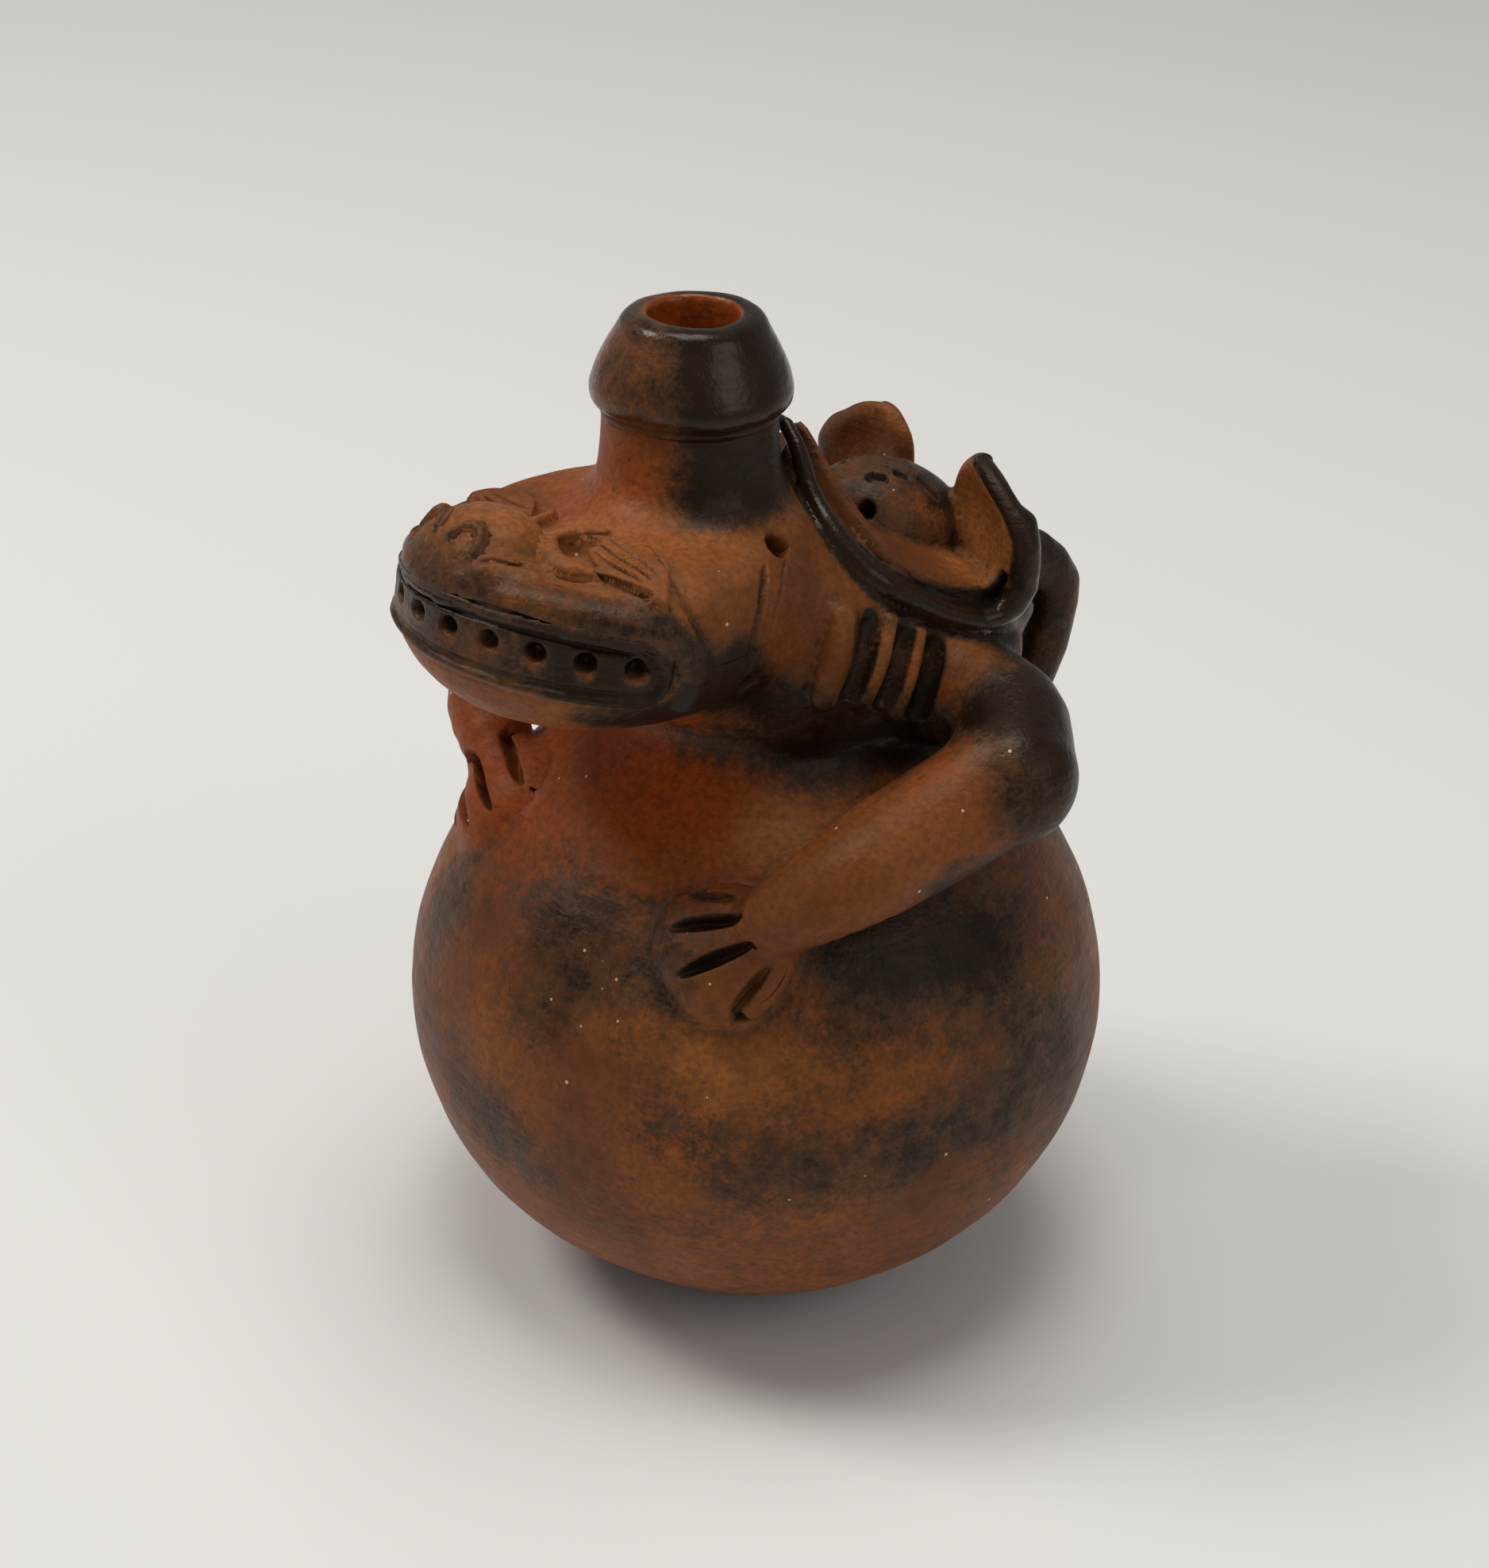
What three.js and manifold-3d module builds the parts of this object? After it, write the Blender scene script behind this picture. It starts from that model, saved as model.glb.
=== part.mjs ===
// Zoomorphic terracotta bottle: a hollow globe carries a crouching beast with a long mouth band,
// a spout behind its brow, a second head lying on its back, two arms reaching down to the globe
// and a looped tail. Millimetres, +Z up. The origin is the middle of the flat foot on the table.
// The snout points to -Y, and the beast's left side is +X.
import * as THREE from "three";
import * as BufferGeometryUtils from "three/addons/utils/BufferGeometryUtils.js";
import Module from "manifold-3d";

const wasm = await Module();
wasm.setup();

// Driving dimensions

const seam = 0.3;
const clayWall = 5;

const globeRadius = 55;
const globeHalfHeight = 48.1;
const footRadius = 16;

const collarRadius = 19.5;
const collarFlare = 4;
const collarBore = 13;
const collarSetback = 2;

const bellyDrop = 14;
const bellyLift = 2;
const trunkHalfWidth = 24.5;
const trunkFront = -34;
const trunkRear = 43;

const headRadius = 28.4;
const headCentreY = -31;
const headLift = 9;
const browHeight = 12.3;
const browFullness = 4;
const throatDepth = 16;
const throatFullness = 2.3;

const bandThickness = 4.4;
const bandHeight = 9.6;
const bandLift = 1.8;
const bandSpan = 78;
const toothCount = 11;
const toothSpacing = 14.2;
const toothRadius = 1.75;
const toothDepth = 2.8;
const lipThickness = 3.2;

const noseReach = 19.8;
const noseHalfWidth = 11;
const noseHalfLength = 9.3;
const noseHeight = 10;
const nostrilHalfLength = 3.2;
const nostrilCoil = 1.3;
const snoutBumpRadius = 2.4;

const eyeSpacing = 16.4;
const eyeSetback = 8.4;
const eyeRingRadius = 3.6;
const eyeCoil = 1.8;
const pupilRadius = 1.7;
const browCommaLength = 15.5;

const spoutSetback = 15.8;
const spoutBore = 13;
const spoutNeckRadius = 12.9;
const spoutNeckHeight = 34.2;
const spoutNeckFlare = 5.5;
const spoutCollarRadius = 14.6;
const spoutCollarHeight = 13.8;
const spoutCollarBelly = 2.3;
const spoutRimRadius = 9;

const shoulderRadius = 7.6;
const shoulderHalfWidth = 8.5;
const shoulderHalfLength = 15;
const shoulderHalfHeight = 9.5;
const elbowRadius = 8.8;
const forearmRadius = 8;
const wristRadius = 7;
const elbowReach = 44;
const forearmClearance = 1.4;
const leftHandBearing = 48;
const rightHandBearing = 36;
const handDrop = 17.5;
const handHalfWidth = 11.5;
const handHalfLength = 9.5;
const handThickness = 4.4;
const fingerCount = 5;
const fingerSlotWidth = 1.5;
const fingerFan = 92;

const shoulderRibCount = 4;
const shoulderRibSpacing = 5.4;
const shoulderRibThickness = 2.9;
const shoulderRibLength = 12.5;

const flankHoleRadius = 1.6;

const maskHalfWidth = 19;
const maskLength = 40;
const maskThickness = 4;
const crownHalfWidth = 11.8;
const crownHeight = 10.6;
const crownSlitCount = 3;
const jawCoil = 5.6;
const earHeight = 19;
const earHalfWidth = 9.8;
const earThickness = 6.4;
const earSpacing = 27;

const tailRadius = 4.3;
const tailPast = 0.5;

const clay = { colour: "#8a4e26", roughness: 0.55 };
const redClay = { colour: "#94421b", roughness: 0.5 };
const smokedClay = { colour: "#5b4030", roughness: 0.55 };
const blackSlip = { colour: "#2a1a14", roughness: 0.35 };

// Heights that follow from the sizes above

const globeCentreZ = globeHalfHeight * Math.sqrt(1 - (footRadius / globeRadius) ** 2);
const globeTopZ = globeCentreZ + globeHalfHeight;
const axisZ = globeTopZ + bellyLift + bellyDrop;
const headZ = axisZ + headLift;
const spoutNeckTopZ = axisZ + spoutNeckHeight;
const spoutTopZ = spoutNeckTopZ + spoutCollarHeight;

// Small helpers for points, solids and meshes

const degrees = Math.PI / 180;
const vector = (x, y, z) => new THREE.Vector3(x, y, z);
const onBeast = (x, y, z) => vector(x, y, axisZ + z);

function solidOf(geometry) {
  const bare = geometry.clone();
  bare.deleteAttribute("normal");
  bare.deleteAttribute("uv");
  const merged = BufferGeometryUtils.mergeVertices(bare, 1e-4);
  const solid = new wasm.Manifold(new wasm.Mesh({
    numProp: 3,
    vertProperties: new Float32Array(merged.attributes.position.array),
    triVerts: new Uint32Array(merged.index.array),
  }));
  return solid;
}

function joined(solids) {
  return solids.reduce((whole, solid) => whole.add(solid));
}

function cut(solid, ...tools) {
  return tools.reduce((rest, tool) => rest.subtract(tool), solid);
}

function place(geometry, position, direction = vector(0, 0, 1), from = vector(0, 0, 1)) {
  const turn = new THREE.Quaternion().setFromUnitVectors(from, direction.clone().normalize());
  return geometry.clone().applyQuaternion(turn).translate(position.x, position.y, position.z);
}

function latheAt(profile, segments, x = 0, y = 0) {
  const points = profile.map(([radius, height]) => new THREE.Vector2(radius, height));
  return new THREE.LatheGeometry(points, segments).rotateX(Math.PI / 2).translate(x, y, 0);
}

// A round cylinder from one point towards another
function rod(start, end, radius, sides = 8) {
  const along = end.clone().sub(start);
  const geometry = new THREE.CylinderGeometry(radius, radius, along.length(), sides);
  const middle = start.clone().add(end).multiplyScalar(0.5);
  return solidOf(place(geometry, middle, along, vector(0, 1, 0)));
}

// A closed form with rounded ends: the rings of a sphere are carried along a spine, and each
// ring takes its half-widths from sizes that run along the same spine. Blunt above 2 gives
// fuller ends, square above 2 gives fuller corners, and grow swells the whole form.
function clayForm(form, grow = 0) {
  const { spine, wide, up, down = up, side = vector(1, 0, 0) } = form;
  const { blunt = 2, square = 2, sides = 16, rings = 12 } = form;
  const path = new THREE.CatmullRomCurve3(spine);
  const girth = new THREE.CatmullRomCurve3(wide.map((w, i) => vector(w, up[i], down[i])));
  const power = (value, exponent) => Math.sign(value) * Math.abs(value) ** exponent;
  const geometry = new THREE.SphereGeometry(1, sides, rings);
  const position = geometry.attributes.position;
  const point = vector(0, 0, 0);
  for (let i = 0; i < position.count; i++) {
    point.fromBufferAttribute(position, i);
    const lengthwise = -power(THREE.MathUtils.clamp(point.y, -1, 1), 2 / blunt);
    const ring = Math.hypot(point.x, point.z);
    const ringScale = ring < 1e-6 ? 0 : ring ** (2 / blunt);
    const across = ring < 1e-6 ? 0 : power(point.x / ring, 2 / square);
    const rise = ring < 1e-6 ? 0 : power(-point.z / ring, 2 / square);
    const share = (lengthwise + 1) / 2;
    const tangent = path.getTangent(share);
    const upward = side.clone().cross(tangent).normalize();
    const sideways = tangent.clone().cross(upward);
    const size = girth.getPoint(share);
    const tall = (rise > 0 ? size.y : size.z) + grow;
    const moved = path.getPoint(share)
      .addScaledVector(tangent, grow * lengthwise)
      .addScaledVector(sideways, across * ringScale * (size.x + grow))
      .addScaledVector(upward, rise * ringScale * tall);
    position.setXYZ(i, moved.x, moved.y, moved.z);
  }
  return solidOf(geometry);
}

// A round coil of clay along points, with rounded ends
function coil(points, radii, sides = 10, rings = 14, side = vector(0, 0, 1), blunt = 5) {
  return { spine: points, wide: radii, up: radii, side, sides, rings, blunt };
}

// The same form on the beast's other side
function mirrored(form) {
  const flip = (v) => vector(-v.x, v.y, v.z);
  return { ...form, spine: form.spine.map(flip), side: form.side ? flip(form.side) : vector(1, 0, 0) };
}

const assembly = new THREE.Group();

function add(name, solid, { colour, roughness }) {
  const { vertProperties, triVerts } = solid.getMesh();
  const geometry = new THREE.BufferGeometry();
  geometry.setAttribute("position", new THREE.BufferAttribute(new Float32Array(vertProperties), 3));
  geometry.setIndex(new THREE.BufferAttribute(new Uint32Array(triVerts), 1));
  geometry.computeVertexNormals();
  const material = new THREE.MeshStandardMaterial({ color: colour, roughness, metalness: 0 });
  const mesh = new THREE.Mesh(geometry, material);
  mesh.name = name;
  assembly.add(mesh);
}

// The globe: an ellipsoid of revolution standing on a flat foot

const globeSides = 34;
const globeSteps = 13;

// The globe's outline from a floor height up to a mouth radius
function globeArc(offset, mouthRadius, floorZ, steps) {
  const radius = globeRadius + offset;
  const half = globeHalfHeight + offset;
  const start = Math.acos(THREE.MathUtils.clamp((floorZ - globeCentreZ) / half, -1, 1));
  const stop = Math.asin(mouthRadius / radius);
  const arc = [];
  for (let i = 0; i <= steps; i++) {
    const angle = start + ((stop - start) * i) / steps;
    arc.push([radius * Math.sin(angle), globeCentreZ + half * Math.cos(angle)]);
  }
  return arc;
}

function globeSolid(grow = 0) {
  const outer = globeArc(grow, collarBore, -grow, globeSteps);
  return solidOf(latheAt([[0, -grow], ...outer, [0, globeTopZ + grow]], globeSides));
}

function globeShell() {
  const outer = globeArc(0, collarBore, 0, globeSteps);
  const inner = globeArc(-clayWall, collarBore, clayWall, 8).reverse();
  return solidOf(latheAt([[0, 0], ...outer, ...inner, [0, clayWall]], globeSides));
}

// The point of the globe's surface at a bearing from -Y and a drop below its top, and its normal
function onGlobe(bearing, drop, lift = 0) {
  const z = globeHalfHeight - drop;
  const radius = globeRadius * Math.sqrt(Math.max(0, 1 - (z / globeHalfHeight) ** 2));
  const x = radius * Math.sin(bearing * degrees);
  const y = -radius * Math.cos(bearing * degrees);
  const normal = vector(x / globeRadius ** 2, y / globeRadius ** 2, z / globeHalfHeight ** 2).normalize();
  return { point: vector(x, y, globeCentreZ + z).addScaledVector(normal, lift), normal };
}

// The collar between the globe and the belly

function collarSolid(grow = 0) {
  const low = globeTopZ - bellyDrop;
  const high = axisZ;
  const waist = globeTopZ;
  const radius = collarRadius + grow;
  const profile = [
    [0, low],
    [radius + collarFlare * 2, low],
    [radius + collarFlare, waist - collarFlare],
    [radius + 1, waist - 1],
    [radius, waist + bellyLift],
    [radius, high],
    [0, high],
  ];
  return solidOf(latheAt(profile, 24, 0, -collarSetback));
}

// The trunk and the head

const trunkForm = {
  spine: [-1, -0.62, -0.22, 0.2, 0.55, 0.85, 1].map((share, i) => {
    const middle = (trunkFront + trunkRear) / 2;
    const y = middle + share * (trunkRear - trunkFront) / 2;
    return onBeast(0, y, [0, 0, 0, -0.5, -1.5, -2.5, -3][i]);
  }),
  wide: [0.9, 0.96, 1, 1, 0.98, 0.86, 0.66].map((share) => share * trunkHalfWidth),
  up: [19, 20.5, 19.5, 12.5, 9, 8, 8],
  down: [0.9, 0.96, 1, 1, 0.92, 0.8, 0.64].map((share) => share * bellyDrop),
  blunt: 2.8,
  square: 2.5,
  sides: 20,
  rings: 14,
};

// The head is round in plan: a full brow above and a bowl of a throat below
function headSolid(grow = 0, segments = 28, steps = 10) {
  const profile = [];
  for (let i = 0; i <= steps; i++) {
    const angle = (i / steps) * Math.PI;
    const height = -Math.cos(angle);
    const fullness = 2 / (height > 0 ? browFullness : throatFullness);
    const tall = (height > 0 ? browHeight : throatDepth) + grow;
    const radius = i % steps === 0 ? 0 : Math.sin(angle) ** fullness * (headRadius + grow);
    profile.push([radius, headZ + Math.sign(height) * Math.abs(height) ** fullness * tall]);
  }
  return solidOf(latheAt(profile, segments, 0, headCentreY));
}

// A point on the round of the jaw at a bearing from -Y, with its distance from the head's middle
function onJaw(bearing, radius, height) {
  const x = radius * Math.sin(bearing * degrees);
  return vector(x, headCentreY - radius * Math.cos(bearing * degrees), headZ + height);
}

class JawArc extends THREE.Curve {
  constructor(radius, height, span) {
    super();
    Object.assign(this, { radius, height, span });
  }

  getPoint(share, target = vector(0, 0, 0)) {
    return target.copy(onJaw((share * 2 - 1) * this.span, this.radius, this.height));
  }
}

const bandFace = headRadius + 0.4;
const toothLift = bandLift + 1.2;

// The mouth band runs round the front of the head and has a half-round end at each side
function bandSolid(grow = 0) {
  const radius = bandFace - bandThickness / 2;
  const thick = bandThickness / 2 + grow;
  const tall = bandHeight / 2 + grow;
  const corner = thick * 0.55;
  const outline = new THREE.Shape([
    [-tall, -thick + corner],
    [-tall, thick - corner],
    [-tall + corner, thick],
    [tall - corner, thick],
    [tall, thick - corner],
    [tall, -thick + corner],
    [tall - corner, -thick],
    [-tall + corner, -thick],
  ].map(([height, depth]) => new THREE.Vector2(height, depth)));
  const extrudePath = new JawArc(radius, bandLift, bandSpan);
  const strip = new THREE.ExtrudeGeometry(outline, { steps: 20, extrudePath });
  const inset = thick - corner * 0.5;
  const ends = [-bandSpan, bandSpan].map((bearing) => {
    const inner = onJaw(bearing, radius - inset, bandLift);
    const outer = onJaw(bearing, radius + inset, bandLift);
    return rod(inner, outer, tall - corner * 0.5, 14);
  });
  return joined([upright(strip), ...ends]);
}

// An extruded strip may come out with its faces turned in, and its solid is then made of the
// same triangles the other way round
function upright(geometry) {
  const solid = solidOf(geometry);
  if (solid.volume() > 0) return solid;
  const turned = geometry.clone();
  const source = turned.index ? turned : BufferGeometryUtils.mergeVertices(turned);
  source.index.array.reverse();
  return solidOf(source);
}

function toothSockets() {
  const sockets = [];
  for (let i = 0; i < toothCount; i++) {
    const bearing = (i - (toothCount - 1) / 2) * toothSpacing;
    const inner = onJaw(bearing, bandFace - toothDepth, toothLift);
    sockets.push(rod(inner, onJaw(bearing, bandFace + toothDepth, toothLift), toothRadius, 8));
  }
  return joined(sockets);
}

// The dark lip lies on the band's upper edge and turns down behind each end of the mouth
const lipRadius = headRadius - 2.4;
const lipHeight = bandLift + bandHeight / 2 + lipThickness * 0.9;
const lipEnd = bandSpan + 9;
const lipCorner = [
  [lipEnd - 24, headRadius - 1.2, lipHeight - 1.8],
  [lipEnd - 8, headRadius - 0.4, bandLift + bandHeight * 0.42],
  [lipEnd - 0.5, headRadius, bandLift],
  [lipEnd, headRadius, bandLift - bandHeight * 0.42],
];
const lipForm = coil(
  [
    ...lipCorner.toReversed().map(([bearing, radius, height]) => onJaw(-bearing, radius, height)),
    ...[-40, -20, 0, 20, 40].map((bearing) => onJaw(bearing, lipRadius, lipHeight)),
    ...lipCorner.map(([bearing, radius, height]) => onJaw(bearing, radius, height)),
  ],
  Array(13).fill(lipThickness / 2), 6, 28, vector(0, 0.7, 1),
);

const noseForm = {
  spine: [-1, 0, 1].map((share) => {
    return onBeast(0, headCentreY - noseReach + share * noseHalfLength, headLift + 8.5 - share * 1.5);
  }),
  wide: [noseHalfWidth, noseHalfWidth, noseHalfWidth * 0.8],
  up: [noseHeight, noseHeight, noseHeight * 0.7],
  down: [noseHeight * 0.8, noseHeight * 0.8, noseHeight * 0.8],
  blunt: 2.3,
  sides: 14,
  rings: 10,
};

function nostrilForm() {
  const y = headCentreY - noseReach - 4;
  return coil(
    [
      onBeast(4.6, y + nostrilHalfLength, headLift + 15.6),
      onBeast(6.4, y, headLift + 15.4),
      onBeast(4.6, y - nostrilHalfLength, headLift + 15.6),
    ],
    [nostrilCoil * 0.7, nostrilCoil, nostrilCoil * 0.7], 6, 6,
  );
}

function snoutBumpForm() {
  const y = headCentreY - 19.2;
  return coil(
    [onBeast(8.8, y - 3.2, 20.9), onBeast(9.9, y, 20.3), onBeast(11.3, y + 3.2, 20.3)],
    [snoutBumpRadius * 0.8, snoutBumpRadius, snoutBumpRadius * 0.8], 8, 6,
  );
}

const browZ = headLift + browHeight;
const eyeY = headCentreY - eyeSetback;

function eyeRing(grow, sign) {
  const ring = new THREE.TorusGeometry(eyeRingRadius, eyeCoil / 2 + grow, 6, 12);
  return solidOf(place(ring, onBeast(sign * eyeSpacing / 2, eyeY, browZ), vector(sign * 0.16, -0.12, 1)));
}

function pupil(sign) {
  const middle = onBeast(sign * eyeSpacing / 2, eyeY, browZ);
  return rod(middle.clone().add(vector(0, 0, -2.4)), middle.clone().add(vector(0, 0, 3)), pupilRadius, 8);
}

function browCommaForm() {
  const start = eyeSpacing / 2 + eyeRingRadius;
  return {
    spine: [
      onBeast(start, eyeY + 1, browZ - 0.3),
      onBeast(start + browCommaLength * 0.42, eyeY + 3.4, browZ - 0.4),
      onBeast(start + browCommaLength * 0.9, eyeY + 5.4, browZ - 2.6),
    ],
    wide: [2.8, 3.6, 1.4],
    up: [1.3, 1.4, 0.9],
    side: vector(0, 1, 0),
    sides: 10,
    rings: 8,
  };
}

// The spout

const spoutY = -spoutSetback;
const browTopZ = headZ + browHeight;

function spoutNeckSolid(grow = 0) {
  const top = spoutNeckTopZ;
  const profile = [
    [0, axisZ + 6],
    [spoutNeckRadius + spoutNeckFlare + grow, axisZ + 6],
    [spoutNeckRadius + spoutNeckFlare + grow, browTopZ - 3.4],
    [spoutNeckRadius + spoutNeckFlare * 0.5 + grow, browTopZ + 0.2],
    [spoutNeckRadius + spoutNeckFlare * 0.15 + grow, browTopZ + 3.8],
    [spoutNeckRadius + grow, browTopZ + 7],
    [spoutNeckRadius + grow, top + grow],
    [0, top + grow],
  ];
  return solidOf(latheAt(profile, 24, 0, spoutY));
}

function spoutCollarSolid() {
  const low = spoutNeckTopZ + seam;
  const bore = spoutBore / 2;
  const profile = [
    [bore, low],
    [spoutCollarRadius - 1.4, low],
    [spoutCollarRadius - 0.3, low + spoutCollarBelly * 0.45],
    [spoutCollarRadius, low + spoutCollarBelly],
    [spoutCollarRadius - 0.8, low + spoutCollarBelly + 2.2],
    [spoutRimRadius + 1.7, spoutTopZ - 2.4],
    [spoutRimRadius + 0.5, spoutTopZ - 0.6],
    [spoutRimRadius - 0.4, spoutTopZ],
    [bore, spoutTopZ],
    [bore, low],
  ];
  return solidOf(latheAt(profile, 26, 0, spoutY));
}

// The air inside the bottle, from the chamber's mouth to the spout

function airSpace() {
  const bore = solidOf(latheAt([[0, globeTopZ - 12], [collarBore, globeTopZ - 12],
    [collarBore, axisZ], [0, axisZ]], 16, 0, 0));
  const spout = solidOf(latheAt([[0, axisZ], [spoutBore / 2, axisZ],
    [spoutBore / 2, spoutTopZ + 1], [0, spoutTopZ + 1]], 16, 0, spoutY));
  const trunk = clayForm({ ...trunkForm, sides: 14, rings: 8 }, -clayWall);
  const head = headSolid(-clayWall - bandThickness + 1, 18, 8);
  return joined([bore, spout, trunk, head]);
}

// Arms, hands and shoulder ribs, for the left side. The right side is mirrored, and its hand
// reaches further round to the front, so the forms take the hand's bearing.

const handPlace = (bearing) => onGlobe(bearing, handDrop, handThickness * 0.2);

function armPath(bearing) {
  const lift = forearmRadius + forearmClearance;
  const shoulder = onBeast(trunkHalfWidth - 6, 18, -6);
  const upper = onBeast((trunkHalfWidth + elbowReach) / 2, 19, -8.5);
  const elbow = onBeast(elbowReach - 1, 13, -12.5);
  const middle = onGlobe(91, 11, lift + 1.2).point;
  const low = onGlobe(50 + bearing * 0.354, 14, lift).point;
  const { point, normal } = handPlace(bearing);
  const wrist = point.clone().lerp(low, 0.5).addScaledVector(normal, 0.5);
  return { shoulder, upper, elbow, middle, low, wrist, hand: point };
}

// The pad of clay that joins the arm to the flank and carries the ribs
function shoulderForm() {
  const x = trunkHalfWidth - 7.5;
  return {
    spine: [-1, 0, 1].map((share) => onBeast(x, 9 + share * shoulderHalfLength, -6)),
    wide: Array(3).fill(shoulderHalfWidth),
    up: Array(3).fill(shoulderHalfHeight),
    blunt: 2.2,
    sides: 14,
    rings: 10,
  };
}

function upperArmForm(bearing) {
  const { shoulder, upper, elbow } = armPath(bearing);
  const past = elbow.clone().sub(upper).setLength(elbowRadius * 0.8).add(elbow);
  return coil([shoulder, upper, elbow, past],
    [shoulderRadius, shoulderRadius, elbowRadius, elbowRadius], 12, 12, vector(0, 0, 1), 3.2);
}

function forearmForm(bearing) {
  const { elbow, middle, low, wrist } = armPath(bearing);
  return coil([elbow, middle, low, wrist],
    [elbowRadius, forearmRadius, forearmRadius, wristRadius], 12, 12);
}

// Directions on the hand: out along the middle finger, across the palm, and away from the globe
function handAxes(bearing) {
  const { low, hand } = armPath(bearing);
  const { normal } = handPlace(bearing);
  const reach = hand.clone().sub(low);
  reach.addScaledVector(normal, -reach.dot(normal)).normalize();
  const across = normal.clone().cross(reach);
  return { normal, reach, across };
}

function handForm(bearing) {
  const { normal, reach, across } = handAxes(bearing);
  const middle = handPlace(bearing).point;
  return {
    spine: [-1, -0.35, 0.35, 1].map((share) => {
      const dip = -0.14 * handHalfLength * share * share;
      return middle.clone().addScaledVector(reach, share * handHalfLength).addScaledVector(normal, dip);
    }),
    wide: [0.62, 0.9, 1.05, 1].map((share) => share * handHalfWidth),
    up: [1.15, 1.05, 1, 0.8].map((share) => share * handThickness),
    side: across,
    blunt: 2.5,
    sides: 14,
    rings: 8,
  };
}

function fingerSlots(bearing) {
  const { normal, reach, across } = handAxes(bearing);
  const middle = handPlace(bearing).point;
  const slots = [];
  for (let i = 0; i < fingerCount - 1; i++) {
    const turn = (i / (fingerCount - 2) - 0.5) * fingerFan * degrees;
    const outward = reach.clone().multiplyScalar(Math.cos(turn)).addScaledVector(across, Math.sin(turn));
    const palm = middle.clone().addScaledVector(reach, -0.35 * handHalfLength)
      .addScaledVector(normal, handThickness * 0.95);
    slots.push({
      spine: [0.28, 0.75, 1.22].map((share) => {
        const sink = -0.12 * handHalfLength * share * share;
        return palm.clone().addScaledVector(outward, share * handHalfLength).addScaledVector(normal, sink);
      }),
      wide: [0.4, 0.5, 0.4].map((share) => share * fingerSlotWidth),
      up: [1.4, 1.9, 1.9],
      side: normal.clone().cross(outward),
      sides: 5,
      rings: 4,
    });
  }
  return slots;
}

function shoulderRibForm(index) {
  const y = index === 0 ? -6.2 : -4.2 + index * shoulderRibSpacing;
  const drop = index * 2.9;
  const lean = 2;
  const face = trunkHalfWidth + 0.7;
  return coil(
    [
      onBeast(face - 0.5, y + lean, 8.5 - drop),
      onBeast(face + 1, y, 8.5 - drop - shoulderRibLength * 0.5),
      onBeast(face, y - lean, 8.5 - drop - shoulderRibLength),
    ],
    Array(3).fill((index === 0 ? 1.4 : 1) * shoulderRibThickness / 2), 7, 7, vector(1, 0, 0), 3,
  );
}

// The second head, lying on the back with its muzzle against the spout

const maskFront = spoutY + spoutNeckRadius + 3;
const maskRise = 21;
const maskFall = 24;

function maskPoint(x, share, height) {
  return onBeast(x, maskFront + share * maskLength, maskRise - maskFall * share + height);
}

const maskForm = {
  spine: [[0.03, 4], [0.22, 0.5], [0.5, -1], [0.78, -0.5], [1, 0]].map(([share, height]) => {
    return maskPoint(0, share, height);
  }),
  wide: [0.25, 0.78, 1, 1, 0.8].map((share) => share * maskHalfWidth),
  up: [0.6, 0.9, 1, 1, 0.8].map((share) => share * maskThickness),
  down: [6, 7, 8, 8, 7],
  blunt: 2.6,
  sides: 16,
  rings: 12,
};

// The brow of the second head is a full egg-shaped dome
const crownForm = {
  spine: [0.18, 0.51, 0.84].map((share) => maskPoint(0, share, -1)),
  wide: Array(3).fill(crownHalfWidth),
  up: Array(3).fill(crownHeight),
  down: [3, 3, 3],
  sides: 14,
  rings: 10,
};

function crownSlits() {
  const slits = [];
  for (let i = 0; i < crownSlitCount; i++) {
    const middle = maskPoint(crownHalfWidth / 2, 0.375 + i * 0.1225, 6.4 + i * 1.6);
    slits.push(clayForm(coil(
      [middle.clone().add(vector(-0.4, -1.4, 1)), middle.clone().add(vector(0.4, 1.4, -1))],
      [1, 1], 6, 5,
    )));
  }
  return joined(slits);
}

// The dark jaw of the second head: one coil from the far corner round the muzzle to the near one
const rearJawSide = [
  [0.24, 0, 5.8],
  [0.45, 0.035, 1.2],
  [0.68, 0.06, -3.3],
  [0.95, 0.105, -6.4],
  [1.09, 0.235, -7.1],
  [1.15, 0.42, -6.2],
  [1.16, 0.6, -3.8],
  [1.17, 0.69, 1.6],
];
const rearJawForm = coil(
  [
    ...rearJawSide.toReversed().map(([x, share, height]) => maskPoint(-x * maskHalfWidth, share, height)),
    maskPoint(0, -0.015, 7.5),
    ...rearJawSide.map(([x, share, height]) => maskPoint(x * maskHalfWidth, share, height)),
  ],
  Array(17).fill(jawCoil / 2), 8, 34,
);

function earForm() {
  const root = maskPoint(earSpacing / 2 + 1.8, 0.7, -0.5);
  return {
    spine: [root, root.clone().add(vector(-0.6, -0.4, earHeight * 0.5)),
      root.clone().add(vector(-3.2, -1.2, earHeight))],
    wide: [earHalfWidth, earHalfWidth, earHalfWidth * 0.6],
    up: [earThickness * 0.5, earThickness * 0.55, earThickness * 0.42],
    side: vector(0.98, 0.18, 0),
    blunt: 2.5,
    sides: 14,
    rings: 10,
  };
}

function tailForm() {
  const outermost = globeRadius + tailPast;
  return coil(
    [
      onBeast(0, trunkRear - 7, -3),
      onBeast(0, (trunkRear + outermost) / 2, -3.2),
      onBeast(0, outermost, -12),
      onBeast(0, outermost - 2.7, -24),
      onGlobe(180, 21, 2).point,
      onGlobe(180, 29, -4).point,
    ],
    [1.15, 1.1, 1, 1, 1.05, 1.1].map((share) => share * tailRadius), 10, 16, vector(1, 0, 0),
  );
}

// Forms that carry or cut each other

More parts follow.
